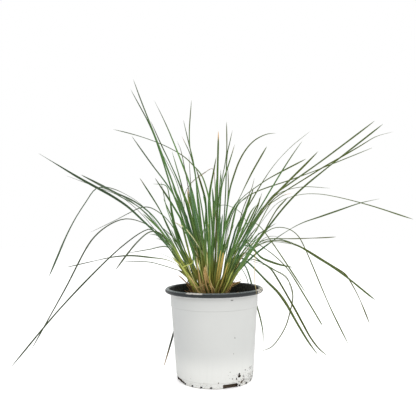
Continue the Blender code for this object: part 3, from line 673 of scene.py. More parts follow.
def straight(first, last, steps):
    """Points between two of the outline, without the first one."""
    return [(first[0] + (last[0] - first[0]) * n / steps, first[1] + (last[1] - first[1]) * n / steps)
            for n in range(1, steps + 1)]


def rim_arc(radius, first, last, step):
    """Points of the rolled rim's section at these angles from straight outwards."""
    turns = [math.radians(degrees) for degrees in range(first, last + (1 if step > 0 else -1), step)]
    middle = POT_HEIGHT - RIM_TUBE
    return [(RIM_RADIUS + radius * math.cos(turn), middle + radius * math.sin(turn)) for turn in turns]


def outside_wall():
    """From the edge of the foot's underside up the outside to where the rim starts to roll over."""
    outside = past((FOOT_RADIUS, 0.0), (0.6, 0.2), (1.1, 0.7), (1.4, 1.4))
    outside += straight(outside[-1], FOOT_BAND, 3) + past(FOOT_BAND, (0.1, 0.3)) + [WALL_FOOT]
    outside += straight(WALL_FOOT, past(COLLAR_FOOT, (-0.7, -0.5))[0], 10)
    outside += past(COLLAR_FOOT, (-0.1, -0.2), (0.0, 0.4))
    return outside + straight(outside[-1], COLLAR_TOP, 3) + past(COLLAR_TOP, (0.2, 0.6), (0.6, 1.2))


def pot_outline():
    """The whole skin: outside, over the rim and down the inside."""
    under = rim_arc(RIM_TUBE - WALL, 180, RIM_LIP_ANGLE, -20)
    over = rim_arc(RIM_TUBE, RIM_LIP_ANGLE, 180, 15)
    inside = [(radius - WALL, height) for radius, height in (COLLAR_TOP, COLLAR_FOOT, WALL_FOOT)]
    floor_edge = FOOT_BAND[0] - 2 * WALL
    return outside_wall() + under + over + inside + [(floor_edge, FLOOR + MM), (floor_edge - MM, FLOOR)]


def block(size, out, rounding, angle):
    """A block with rounded edges, at that distance from the axis and angle from the front."""
    choose()
    bpy.ops.mesh.primitive_cube_add(size=1.0, location=(0.0, -out, 0.0))
    piece = named("block")
    piece.scale = size
    apply_places(piece)
    with editing_points(piece):
        bpy.ops.mesh.bevel(offset=rounding, offset_pct=0, segments=3, affect="EDGES")
    piece.rotation_euler = (0.0, 0.0, math.radians(angle))
    apply_places(piece)
    return piece


def cut_away(piece, blocks):
    cutter = joined(blocks, "cutter")
    cut = piece.modifiers.new("cut", "BOOLEAN")
    cut.operation = "DIFFERENCE"
    cut.solver = "EXACT"
    cut.object = cutter
    apply_modifier(piece, cut)
    discard(cutter)


def make_pot():
    """One skin: the foot's disc, drawn up the wall, rolled over at the rim and down to the floor inside."""
    pot = turned("nursery_pot", POT_SIDES, (FOOT_RADIUS, 0.0), pot_outline())
    cut_away(pot, [block(*SLOT_BLOCK, angle) for angle in SLOT_ANGLES])
    notches = [NOTCH_FIRST + number * 360 / NOTCH_COUNT for number in range(NOTCH_COUNT)]
    cut_away(pot, [block(*NOTCH_BLOCK, angle) for angle in notches
                   if min(abs((angle - slot + 180) % 360 - 180) for slot in SLOT_ANGLES) > SLOT_CLEAR])
    smooth(pot, 35)
    set_finish(pot, pot_white(), pot_dark())
    paint_rim_and_inside(pot)
    hand_in(pot, "pot", "pot")


def paint_rim_and_inside(pot):
    """The white skin ends under the rim; the rim and the inside are the dark plastic below it."""
    roll = (RIM_RADIUS - RIM_TUBE + WALL, POT_HEIGHT - RIM_TUBE)
    radii, heights = zip(*outside_wall(), roll)
    for face in pot.data.polygons:
        across = math.hypot(face.center.x, face.center.y)
        wall = np.interp(face.center.z, heights, radii)
        skin = face.center.z < roll[1] and abs(across - wall) < 0.0005
        face.material_index = 0 if skin or face.center.z < 0.0003 else 1


def around_pot(finish):
    """Place on the pot, its angle from the front, how far out and how high it is."""
    place = finish.place()
    x, y, z = finish.split(place)
    out = finish.maths("SQRT", finish.plus(finish.times(x, x), finish.times(y, y)))
    return place, finish.maths("ARCTAN2", x, finish.times(y, -1.0)), out, z


def pot_white():
    """Satin white plastic with faint streaks, dust low down and specks of potting mix; painted shade at its
    sides, under the rim, at its steps and along the foot's edge, and painted floor light low down.
    """
    finish = Finish("pot_white", 0.42, 0.35)
    times, ramp, over = finish.times, finish.ramp, finish.over
    place, around, _, z = around_pot(finish)
    finish.tint = finish.blend(finish.noise(place, 18.0, 4.0), (0.484, 0.490, 0.478), (0.520, 0.524, 0.508))
    # Painted shade: the wall darker on its left, and darker still towards both far sides
    over(ramp(around, -1.3, -0.1, 1.0, 0.0), (0.440, 0.450, 0.446))
    over(ramp(finish.off(around, 0.0), 0.95, 1.45, 0.0, 0.8), (0.400, 0.406, 0.396))
    # Painted light: the lower wall paler, as if lit from the floor, less so at the far left and right
    painted_floor_light = times(ramp(z, 0.024, 0.064, 1.0, 0.0), ramp(around, -1.4, -0.4, 0.45, 1.0),
                   ramp(around, 0.8, 1.4, 1.0, 0.35))
    over(painted_floor_light, (0.620, 0.622, 0.600))
    # Painted shadow under the rim, deeper on the left
    painted_rim_shadow = times(ramp(z, 0.146, 0.154, 0.0, 0.6), ramp(around, -0.8, 0.0, 1.5, 1.0))
    over(painted_rim_shadow, (0.400, 0.402, 0.390))
    streak = finish.noise(finish.join(times(around, 6.0), times(z, 4.0), 0.0), 2.0, 5.0)
    over(ramp(streak, 0.52, 0.72, 0.0, 0.12), (0.47, 0.48, 0.46))
    # Painted shade: a thin dark line at each step of the wall
    for height in (FOOT_BAND[1], COLLAR_FOOT[1] - 0.0004, COLLAR_TOP[1] + 0.0004):
        over(ramp(finish.off(z, height), 0.0003, 0.0009, 0.35, 0.0), (0.33, 0.33, 0.32))
    # Painted shadow along the foot's lower edge, where it meets the floor
    over(ramp(z, 0.0004, 0.0020, 0.8, 0.0), (0.17, 0.155, 0.125))
    aside, above = times(finish.off(around, 0.37), 32.0), times(finish.off(z, 0.1515), 900.0)
    smudge = finish.plus(times(aside, aside), times(above, above))
    over(ramp(smudge, 0.2, 1.6, 0.8, 0.0), (0.075, 0.075, 0.072))
    dirty = times(ramp(z, 0.0, 0.03, 1.0, 0.0), ramp(around, -0.1, 0.9, 0.25, 1.0))
    dust = ramp(finish.noise(place, 160.0, 6.0, 0.7), 0.50, 0.66)
    over(times(dust, dirty, 0.55), (0.34, 0.28, 0.19))
    speck = finish.cells(place, 130.0)
    chosen = ramp(finish.noise(speck["Position"], 95.0, 0.0), 0.60, 0.63)
    grains = times(ramp(speck["Distance"], 0.16, 0.24, 1.0, 0.0), chosen, ramp(dirty, 0.15, 0.5))
    over(grains, (0.035, 0.024, 0.015))
    finish.bump(finish.noise(place, 420.0, 3.0), 0.00006, 0.5)
    return finish.done(ramp(finish.noise(place, 60.0, 4.0), 0.3, 0.7, 0.36, 0.50))


def pot_dark():
    """Charcoal plastic, worn pale along the rim's crown, near black and soiled inside."""
    finish = Finish("pot_dark", 0.5, 0.3)
    times, ramp, over = finish.times, finish.ramp, finish.over
    place, around, out, z = around_pot(finish)
    cloud = finish.noise(place, 45.0, 5.0)
    finish.tint = finish.blend(cloud, (0.008, 0.010, 0.011), (0.022, 0.026, 0.028))
    inside = ramp(out, RIM_RADIUS - 0.0038, RIM_RADIUS - 0.0026, 1.0, 0.0)
    soiled = ramp(finish.noise(place, 260.0, 4.0, 0.6), 0.40, 0.64)
    over(inside, finish.blend(soiled, (0.010, 0.0105, 0.009), (0.036, 0.036, 0.026)))
    finish.wire(finish.shader.inputs["Specular IOR Level"], ramp(inside, 0.0, 1.0, 0.30, 0.12))
    crown = ramp(z, POT_HEIGHT - 0.0024, POT_HEIGHT - 0.0008)
    scratches = finish.noise(finish.join(times(around, 9.0), 0.0, times(z, 300.0)), 3.0, 6.0, 0.65)
    aside = finish.off(around, 0.0)
    ends = times(ramp(aside, 0.7, 1.4, 0.45, 0.95), ramp(aside, 1.8, 2.2, 1.0, 0.0))
    over(times(crown, ramp(scratches, 0.30, 0.60), ends), (0.32, 0.36, 0.36))
    grit = finish.noise(place, 300.0, 4.0)
    for middle, half_width, tint, low, depth in ((-0.407, 0.19, (0.50, 0.48, 0.45), 0.36, 0.0026),
                                                 (1.30, 0.34, (0.62, 0.58, 0.50), 0.44, 0.0060)):
        here = ramp(finish.off(around, middle), half_width * 0.75, half_width, 1.0, 0.0)
        upper = ramp(z, POT_HEIGHT - depth, POT_HEIGHT - depth + 0.0008)
        over(times(here, upper, ramp(grit, low, low + 0.08)), tint)
    finish.bump(grit, 0.00012, 0.5)
    return finish.done(ramp(cloud, 0.3, 0.7, 0.42, 0.62))


# Potting mix


def make_soil():
    """Mix filled to below the rim, with an uneven top, and loose crumbs and shreds of bark on it."""
    wall = [(radius - WALL - SOIL_CLEAR, height) for radius, height in (WALL_FOOT, COLLAR_FOOT)]
    reach = wall[-1][0]
    level = SOIL_LEVEL - SOIL_SUNK
    rings = [(reach * (1.0 - share), level) for share in SOIL_RINGS]
    soil = turned("potting_mix", SOIL_SIDES, SOIL_FOOT, wall + rings)
    with editing_top(soil):
        bpy.ops.mesh.subdivide(number_cuts=2, smoothness=0.0)
    inside = [point.index for point in soil.data.vertices
              if point.co.z > level - 0.0001 and math.hypot(point.co.x, point.co.y) < reach - 0.001]
    soil.vertex_groups.new(name="top").add(inside, 1.0, "REPLACE")
    for lumps in SOIL_LUMPS:
        roughened(soil, *lumps, 0.6, direction="Z", vertex_group="top")
    soil = joined([soil] + make_crumbs(reach) + make_slot_shade_plugs(), "potting_mix")
    smooth(soil, 40)
    set_finish(soil, soil_finish("potting_mix", SOIL_DAMP))
    hand_in(soil, "soil", "soil")


def make_slot_shade_plugs():
    """Dark mix set in the four drain slots, standing in for the shade inside them."""
    plugs = []
    for angle in SLOT_ANGLES:
        plug = block(*PLUG_BLOCK, 0.0)
        with editing_points(plug):
            move(0.0, 0.0, PLUG_RAISE)
            bpy.ops.mesh.subdivide(number_cuts=5, smoothness=0.0)
        roughened(plug, *PLUG_LUMPS, 1.0)
        plug.rotation_euler = (0.0, 0.0, math.radians(angle))
        apply_places(plug)
        plugs.append(plug)
    return plugs


def make_crumbs(reach):
    """Loose grains and bark shreds on the mix, outside the crown."""
    chance = random.Random(11)
    choose()
    bpy.ops.mesh.primitive_ico_sphere_add(subdivisions=1, radius=1.0)
    grain = named("grain")
    choose()
    bpy.ops.mesh.primitive_cylinder_add(vertices=5, radius=1.0, depth=2.0)
    shred = named("shred")
    crumbs = []
    for number in range(LOOSE_CRUMBS):
        angle = chance.uniform(0.0, math.tau)
        out = CROWN_RADIUS + (reach - CROWN_RADIUS - 0.0025) * math.sqrt(chance.random())
        bark = number % BARK_EVERY == 0
        crumb = own_copy(shred if bark else grain, f"crumb_{number}")
        size = (chance.uniform(0.5, 1.0) if bark else chance.choice((0.5, 0.7, 0.9, 1.3))) * MM
        stretch = (1.0, 0.5, chance.uniform(2.5, 5.0)) if bark else (1.0, chance.uniform(0.6, 1.0), 0.7)
        crumb.scale = [size * share for share in stretch]
        crumb.rotation_euler = (math.radians(90) if bark else chance.uniform(0, 1), chance.uniform(-0.3, 0.3),
                                chance.uniform(0.0, math.tau))
        crumb.location = (out * math.cos(angle), out * math.sin(angle), SOIL_LEVEL - 0.0012 + 0.3 * size)
        crumbs.append(crumb)
    discard(grain, shred)
    apply_places(*crumbs)
    return crumbs


def stick_on_wall(crumb, angle, height, wide, tall, turn):
    """Lays a crumb against the wall, turned in the wall's own face."""
    radii, heights = zip(*outside_wall())
    out = np.interp(height * MM, heights, radii) + 0.0001
    face = Matrix.Rotation(math.radians(angle), 4, "Z") @ Matrix.Translation((0.0, -out, height * MM))
    size = Matrix.Diagonal((wide * MM / 2, 0.0005, tall * MM / 2, 1.0))
    crumb.matrix_world = face @ Matrix.Rotation(math.radians(-turn), 4, "Y") @ size


def stuck_places():
    """The crumbs that can be told apart, then specks at the right, all round and in front."""
    chance = random.Random(71)
    places = list(STUCK_CRUMBS)
    for _ in range(SPECKS_RIGHT):
        size = chance.triangular(0.3, 1.2, 0.4)
        places.append((chance.triangular(14, 76, 44), chance.triangular(1.5, 34, 6), size * 1.3, size,
                       chance.uniform(0, 90)))
    for _ in range(SPECKS_ROUND):
        size = chance.uniform(0.3, 0.7)
        places.append((chance.uniform(0, 360), chance.triangular(1.5, 26, 4), size * 1.3, size, 0.0))
    for _ in range(SPECKS_FRONT):
        size = chance.uniform(0.25, 0.5)
        places.append((chance.uniform(-62, 16), chance.triangular(1.2, 10, 3), size * 1.3, size,
                       chance.uniform(0, 90)))
    return places


def make_stuck_crumbs():
    choose()
    bpy.ops.mesh.primitive_ico_sphere_add(subdivisions=2, radius=1.0)
    lump = named("lump")
    for point in lump.data.vertices:
        point.co *= 1.0 + 0.3 * noise.noise(point.co * 2.3)
    crumbs = []
    for number, place in enumerate(stuck_places()):
        crumbs.append(own_copy(lump, f"stuck_{number}"))
        stick_on_wall(crumbs[-1], *place)
    discard(lump)
    apply_places(*crumbs)
    piece = joined(crumbs, "stuck_crumbs")
    smooth(piece, 50)
    set_finish(piece, soil_finish("stuck_mix", STUCK_DAMP))
    hand_in(piece, "soil")


def soil_finish(name, damp):
    """Grains from damp to dry, with pale fibres among them."""
    finish = Finish(name, 0.95, 0.15)
    place = finish.place()
    grain = finish.noise(place, 260.0, 6.0, 0.7)
    finish.tint = finish.blend(grain, damp, [4.2 * value for value in damp])
    fibre = finish.noise(finish.cells(place, 320.0)["Position"], 50.0, 0.0)
    finish.over(finish.ramp(fibre, 0.60, 0.66), (0.060, 0.040, 0.024))
    finish.bump(grain, 0.0006, 0.9)
    return finish.done()


# Leaves: the blank that each is bent from, and its route


def make_blank(rows, columns):
    """A straight leaf along +X from 0 to 1, of half width 1: a closed sheath, then a folded blade."""
    choose()
    bpy.ops.mesh.primitive_grid_add(x_subdivisions=rows, y_subdivisions=columns, size=2.0, calc_uvs=True)
    blank = named("blank")
    rib = 2.0 / columns
    with editing_points(blank):
        resize(0.5, 1.0, 1.0)
        move(0.5, 0.0, 0.0)
    with editing_points(blank, lambda place: abs(place.y) < rib / 2):
        move(0.0, 0.0, -1.0, use_proportional_edit=True, proportional_edit_falloff="LINEAR",
             proportional_size=1.01)
    with editing_points(blank, lambda place: round(place.y / rib) % 2 == 1):
        move(0.0, 0.0, 0.05)
    with editing_points(blank):
        move(0.0, 0.0, 0.50)
    with editing_points(blank, lambda place: place.x < SHEATH_SHARE * 0.4):
        resize(1.0, 0.80, 1.75, use_proportional_edit=True, proportional_edit_falloff="SMOOTH",
               proportional_size=SHEATH_SHARE * 0.8)
    skin = blank.modifiers.new("skin", "SOLIDIFY")
    skin.thickness = BLADE_THICKNESS
    skin.offset = 0.0
    apply_modifier(blank, skin)
    return blank


def distances(points):
    """How far along its line each point is."""
    return np.concatenate(([0.0], np.cumsum(np.linalg.norm(np.diff(points, axis=0), axis=1))))


def unit_rows(rows):
    return rows / np.linalg.norm(rows, axis=1)[:, None]


def directions(points):
    return unit_rows(np.gradient(points, axis=0))


def settled(blank, name, points, sides, half_widths, tone):
    """A copy of the blank along the route: points, which way its width lies, and its half widths."""
    leaf = own_copy(blank, name)
    length = distances(points)[-1]
    sheath = min(SHEATH_LENGTH, 0.4 * length)
    count = len(leaf.data.vertices)
    places = np.empty(count * 3, np.float32)
    leaf.data.vertices.foreach_get("co", places)
    places = places.reshape(count, 3)
    places[:, 0] = np.interp(places[:, 0], (0.0, SHEATH_SHARE, 1.0), (0.0, sheath, length))
    leaf.data.vertices.foreach_set("co", places.ravel())
    for label, values in (("from_root", places[:, 0]), ("tone", np.full(count, tone, np.float32))):
        leaf.data.attributes.new(label, "FLOAT", "POINT").data.foreach_set("value", values)
    route = leaf_route(points, sides, half_widths)
    bend = leaf.modifiers.new("bend", "CURVE")
    bend.object = route
    bend.deform_axis = "POS_X"
    apply_modifier(leaf, bend)
    discard(route)
    return leaf


def carried(points, side):
    """Direction of the route at each point, and the side carried along it without a twist."""
    for tangent in directions(points):
        side = side - tangent * side.dot(tangent)
        side /= np.linalg.norm(side)
        yield tangent, side


def leaf_route(points, sides, half_widths):
    """The line that a leaf is bent along; its tilt turns the leaf's width to the given sides."""
    start = Vector(points[1] - points[0]).to_track_quat("Z", "Y")
    side = Vector(sides[0])
    first_tilt = math.atan2(side.dot(start @ Vector((0, 1, 0))), side.dot(start @ Vector((1, 0, 0))))
    turns = np.unwrap([math.atan2(wanted.dot(np.cross(tangent, side)), wanted.dot(side))
                       for wanted, (tangent, side) in zip(sides, carried(points, sides[0]))])
    data = bpy.data.curves.new("route", "CURVE")
    data.dimensions = "3D"
    data.twist_mode = "MINIMUM"
    data.use_radius = True
    spline = data.splines.new("POLY")
    spline.points.add(len(points) - 1)
    spline.points.foreach_set("co", np.column_stack([points, np.ones(len(points))]).ravel())
    spline.points.foreach_set("tilt", (first_tilt + turns - turns[0]).astype(np.float32))
    spline.points.foreach_set("radius", np.asarray(half_widths, np.float32))
    route = bpy.data.objects.new("route", data)
    bpy.context.collection.objects.link(route)
    bpy.context.view_layer.update()
    return route


def smooth_route(points, count):
    """Even-arc points of a smooth curve through the given ones."""
    points = np.asarray(points, dtype=float)
    steps = np.linalg.norm(np.diff(points, axis=0), axis=1) ** 0.5
    knots = np.concatenate(([0.0], np.cumsum(steps)))
    slopes = np.empty_like(points)
    slopes[1:-1] = (points[2:] - points[:-2]) / (knots[2:] - knots[:-2])[:, None]
    slopes[0] = (points[1] - points[0]) / steps[0]
    slopes[-1] = (points[-1] - points[-2]) / steps[-1]
    at = np.linspace(0.0, knots[-1], 12 * len(points))
    span = np.clip(np.searchsorted(knots, at, side="right") - 1, 0, len(steps) - 1)
    width = steps[span][:, None]
    t = ((at - knots[span]) / steps[span])[:, None]
    curve = (
        (2 * t**3 - 3 * t**2 + 1) * points[span]
        + (t**3 - 2 * t**2 + t) * width * slopes[span]
        + (3 * t**2 - 2 * t**3) * points[span + 1]
        + (t**3 - t**2) * width * slopes[span + 1]
    )
    along = distances(curve)
    return by_place(np.linspace(0.0, along[-1], count), along, curve)


def by_place(wanted, along, rows):
    """Each column of the rows, read at the wanted places along a line."""
    return np.column_stack([np.interp(wanted, along, rows[:, axis]) for axis in range(3)])


def free_sides(points, start_turn, whole_turn):
    """Which way a leaf's width lies along its route, turning slowly."""
    lean = math.atan2(points[-1, 1] - points[0, 1], points[-1, 0] - points[0, 0])
    level_side = np.array([-math.sin(lean), math.cos(lean), 0.0])
    turns = start_turn + np.linspace(0.0, whole_turn, len(points))
    return np.array([side * math.cos(turn) + np.cross(tangent, side) * math.sin(turn)
                     for turn, (tangent, side) in zip(turns, carried(points, level_side))])


def free_widths(width, length, count, foot=0.0012):
    """Half widths of a leaf: its sheath, its blade and its pointed tip."""
    share = np.linspace(0.0, 1.0, count)
    blade = 1.3 * width / 2 * np.clip(1.0 - share**14, 0.02, 1.0) ** 0.8
    opened = np.clip((share * length - 0.015) / 0.045, 0.0, 1.0)
    return min(foot, 0.48 * width) * (1.0 - opened) + blade * opened


def turned_to_viewer(points, sides, half_widths):
    """Turns the broadest stretches of a leaf to the viewer, so that none is wider than a real leaf."""
    tangents = directions(points)
    facing = unit_rows(np.cross(tangents, points - np.array(EYE)))
    away = np.cross(tangents, facing)
    flat = (sides * facing).sum(axis=1)
    deep = (sides * away).sum(axis=1)
    seen = half_widths * np.abs(flat)
    held = np.maximum(np.minimum(half_widths, WIDEST), seen)
    share = np.clip(seen / held, 0.0, 1.0)
    flat, deep = np.sign(flat) * share, np.sign(deep) * np.sqrt(1.0 - share**2)
    return facing * flat[:, None] + away * deep[:, None], held


def hand_in_groups(groups, prefix):
    """Joins the leaves of each finish into one piece."""
    for key, leaves in groups.items():
        piece = joined(leaves, f"{prefix}_{key}_leaves")
        smooth(piece, BLADE_ANGLE)
        hand_in(piece, LEAF_COLOURS[key][0])


# Leaves that the frame holds


def leaf_rings(node):
    """The rings of four corners that a leaf's solid is made of, from its root to its tip."""
    mesh = frame["nodes"][node].data
    corner_of = {}
    number_of = []
    corners = []
    for point in mesh.vertices:
        key = tuple(round(value * 1e6) for value in point.co)
        if key not in corner_of:
            corner_of[key] = len(corners)
            corners.append(np.array(point.co))
        number_of.append(corner_of[key])
    touching = [set() for _ in corners]
    for face in mesh.polygons:
        numbers = [number_of[point] for point in face.vertices]
        for number in numbers:
            touching[number].update(numbers)
    ring = {number for number, corner in enumerate(corners) if abs(corner[2] - ROOT_HEIGHT) < 5e-5}
    seen = set()
    rings = []
    while ring:
        rings.append([corners[number] for number in sorted(ring)])
        seen |= ring
        ring = set().union(*(touching[number] for number in ring)) - seen
    return rings


def leaf_lie(rings):
    """Middle line, sides and half widths of a leaf, read from its rings."""
    middles = np.array([np.mean(ring, axis=0) for ring in rings])
    sides = []
    halves = []
    for ring, tangent in zip(rings[:-1], np.gradient(middles, axis=0)):
        pairs = [(a, b) for a in range(len(ring)) for b in range(a + 1, len(ring))]
        left, right = max(pairs, key=lambda pair: np.linalg.norm(ring[pair[0]] - ring[pair[1]]))
        rest = [corner for number, corner in enumerate(ring) if number not in (left, right)]
        side = ring[right] - ring[left]
        halves.append(np.linalg.norm(side) / 2)
        upper = (ring[left] + ring[right]) / 2 - np.mean(rest, axis=0)
        if np.cross(tangent, side).dot(upper) < 0:
            side = -side
        sides.append(side / np.linalg.norm(side))
    sides[0] = sides[1] if np.dot(sides[0], sides[1]) < 0 else sides[0]
    return middles, np.array(sides + [sides[-1]]), np.array(halves + [halves[-1] * 0.12])


def make_frame_leaf(blank, node, tone):
    """A leaf along its solid's route, as wide as its solid but for its trim, its foot and its fuller tip."""
    middles, sides, halves = leaf_lie(leaf_rings(node))
    points = smooth_route(middles, ROUTE_POINTS)
    ring_places = distances(middles)
    even = np.linspace(0.0, ring_places[-1], ROUTE_POINTS)
    share = even / even[-1]
    fuller = ((1.0001 - share**16) / (1.0001 - share**3)) ** 0.8
    opened = np.interp(even, (0.03, 0.08, 0.14), (0.52, 0.72, 1.26))
    trim_places, trims = np.array(LEAF_TRIMS.get(int(node[-2:]), USUAL_TRIM)).T / 100
    trim = np.interp(share, trim_places, trims)
    half_widths = np.interp(even, ring_places, halves) * fuller * opened * trim
    lie = turned_to_viewer(points, unit_rows(by_place(even, ring_places, sides)), half_widths)
    return settled(blank, f"{node}_blade", points, *lie, tone)


def make_frame_leaves(blank, finishes):
    chance = random.Random(21)
    slot_of = {row["node"]: row["material_slot"] for row in frame["record"]["subparts"]}
    for node in sorted(name for name in frame["nodes"] if name.startswith("leaf_")):
        leaf = make_frame_leaf(blank, node, chance.random())
        smooth(leaf, BLADE_ANGLE)
        usual = slot_of[node].removeprefix("leaf_")
        set_finish(leaf, finishes[FINISH_OF_LEAF.get(int(node[-2:]), usual)])
        hand_in(leaf, slot_of[node], node)


# Leaves and strands along traced points


def level_picture(across, up):
    """Turns a point measured along the picture's edges upright, in metres."""
    across *= MM
    up = up * MM - PICTURE_PIVOT
    cos, sin = math.cos(PICTURE_LEAN), math.sin(PICTURE_LEAN)
    return across * cos + up * sin, up * cos - across * sin + PICTURE_PIVOT


def brought_forward(across, toward, up):
    """A point of the upright plane, moved along its line of sight."""
    shrink = (-EYE.y - toward) / -EYE.y
    return (EYE.x + (across - EYE.x) * shrink, -toward, EYE.z + (up - EYE.z) * shrink)


def root_on_crown(across, toward):
    """The place on the crown nearest to the one asked for."""
    out = np.array([across, -toward]) - CROWN_CENTRE
    held = min(1.0, CROWN_RADIUS * 0.93 / max(np.linalg.norm(out), 1e-6))
    return (*(np.array(CROWN_CENTRE) + out * held), ROOT_HEIGHT - 0.002)


def traced_route(traced, root_toward, tip_toward):
    """A smooth route through traced points, from the crown, coming forward steadily to the tip."""
    flat = [level_picture(*point[:2]) for point in traced]
    along = 0.05 + distances(np.array(flat))
    shares = (along / along[-1]) ** 1.25
    controls = [root_on_crown(flat[0][0] * 0.5, root_toward * MM)]
    for point, (across, up), share in zip(traced, flat, shares):
        toward = point[2] if len(point) > 2 else root_toward + (tip_toward - root_toward) * share
        controls.append(brought_forward(across, toward * MM, up))
    return smooth_route(controls, TRACED_POINTS)


def make_traced_leaves(blank, finishes, table, prefix, seed):
    """Leaves and strands along traced points, joined by finish."""
    chance = random.Random(seed)
    groups = {}
    for number, (key, width, root_toward, tip_toward, *traced) in enumerate(table):
        points = traced_route(traced, root_toward, tip_toward)
        sides = free_sides(points, chance.uniform(-0.6, 0.6), chance.uniform(-1.2, 1.2))
        widths = free_widths(width * MM, distances(points)[-1], TRACED_POINTS)
        lie = turned_to_viewer(points, sides, widths)
        leaf = settled(blank, f"{prefix}_{number}", points, *lie, chance.random())
        set_finish(leaf, finishes[key])
        groups.setdefault(key, []).append(leaf)
    hand_in_groups(groups, prefix)


# Young and old leaves that fill the middle of the clump, and the crown


def seen_through(points):
    """Whether a route passes in front of or behind one of the open places, as the photograph sees it."""
    shrink = EYE.y / (EYE.y - points[:, 1])
    across = EYE.x + (points[:, 0] - EYE.x) * shrink
    up = EYE.z + (points[:, 2] - EYE.z) * shrink
    open_places = [level_picture(*place) for place in OPEN_PLACES]
    return any((np.hypot(across - x, up - z) < OPEN_REACH).any() for x, z in open_places)


def foot_place(angle, out, lower):
    """A place at that angle and distance from the crown's middle, that far below its top."""
    return np.array([CROWN_CENTRE[0] + out * math.cos(angle), CROWN_CENTRE[1] + out * math.sin(angle),
                     ROOT_HEIGHT - lower])


def level_arrow(angle):
    return np.array([math.cos(angle), math.sin(angle), 0.0])


def make_inner_leaves(blank, finishes):
    """Shorter leaves that lean out all round, thickest near the foot of the clump."""
    chance = random.Random(43)
    groups = {}
    for number in range(INNER_LEAVES):
        angle = chance.uniform(0.0, math.tau)
        out = math.sqrt(chance.random())
        reach = chance.triangular(0.05, 0.21, 0.11)
        lean = out * chance.uniform(0.35, 0.62)
        key = chance.choices(("green", "blue", "olive", "straw"), (46, 26, 20, 14 if reach < 0.09 else 0))[0]
        foot = foot_place(angle, out * CROWN_RADIUS * 0.93, 0.002)
        away = level_arrow(angle + chance.uniform(-0.5, 0.5))
        droop = chance.uniform(0.0, 0.25) * out
        controls = []
        for share in (0.0, 0.25, 0.5, 0.75, 1.0):
            forward = reach * (lean * share + 0.35 * lean * share**2)
            wave = 0.012 * reach * math.sin(5 * share + number)
            rise = reach * (share - droop * share**3)
            controls.append(foot + away * (forward + wave) + np.array([0.0, 0.0, rise]))
        points = smooth_route(controls, INNER_POINTS)
        if seen_through(points):
            continue
        sides = free_sides(points, chance.uniform(-0.8, 0.8), chance.uniform(-1.2, 1.2))
        halves = free_widths(chance.uniform(1.5, 3.2) * MM, reach, INNER_POINTS, 0.0018)
        leaf = settled(blank, f"inner_{number}", points, sides, halves, chance.random())
        set_finish(leaf, finishes[key])
        groups.setdefault(key, []).append(leaf)
    hand_in_groups(groups, "inner")


def make_husk(blank, number, chance):
    """A dead sheath or a broken leaf foot, standing or lying on the crown."""
    angle = chance.uniform(0.0, math.tau)
    out = math.sqrt(chance.random())
    tall = chance.triangular(0.010, 0.070, 0.022)
    lean = out * chance.uniform(0.3, 0.9)
    if chance.random() < 0.16:
        lean = chance.uniform(1.2, 2.2)
        tall *= 0.5
    foot = foot_place(angle, out * CROWN_RADIUS, 0.004)
    away = level_arrow(angle)
    top = foot + tall * (away * lean + np.array([0.0, 0.0, 1.0 if lean < 1 else 0.5]))
    middle = (foot + top) / 2 + away * tall * chance.uniform(-0.12, 0.05)
    points = smooth_route([foot, middle, top], HUSK_POINTS)
    sides = free_sides(points, chance.uniform(-1.5, 1.5), chance.uniform(-1.0, 1.0))
    halves = chance.uniform(0.8, 1.9) * MM * np.linspace(1.0, chance.uniform(0.25, 0.7), HUSK_POINTS)
    return settled(blank, f"husk_{number}", points, sides, halves, chance.random())


def make_crown(blank, finishes):
    """Low fibrous mound with its husks."""
    choose()
    bpy.ops.mesh.primitive_uv_sphere_add(segments=48, ring_count=20, radius=1.0)
    mound = named("root_crown")
    mound.scale = (CROWN_RADIUS + 0.002, CROWN_RADIUS + 0.002, CROWN_DOME)
    mound.location = (*CROWN_CENTRE, SOIL_LEVEL - 0.003)
    apply_places(mound)
    roughened(mound, *CROWN_LUMPS, 0.5)
    for label in ("from_root", "tone"):
        mound.data.attributes.new(label, "FLOAT", "POINT")
    chance = random.Random(57)
    crown = joined([mound] + [make_husk(blank, number, chance) for number in range(HUSKS)], "root_crown")
    smooth(crown, BLADE_ANGLE)
    set_finish(crown, finishes["brown"])
    hand_in(crown, "crown", "crown")


# Finish of the leaves


def old_age(finish, key, share, from_root, x):
    """How far a living leaf has gone grey or olive: from the clump outwards, sooner at the sides."""
    if key == "fresh":
        return finish.ramp(share, 0.70, 0.92, 0.0, 0.85)
    if key == "olive":
        return finish.ramp(from_root, 0.09, 0.22, 0.0, 0.90)
    upright = finish.ramp(finish.off(x, -0.025), 0.045, 0.11, 0.09, 0.0)
    along = finish.plus(finish.maths("SUBTRACT", from_root, upright), finish.ramp(x, 0.035, 0.10, 0.0, 0.045))
    return finish.ramp(along, 0.11, 0.26, 0.0, 0.80)


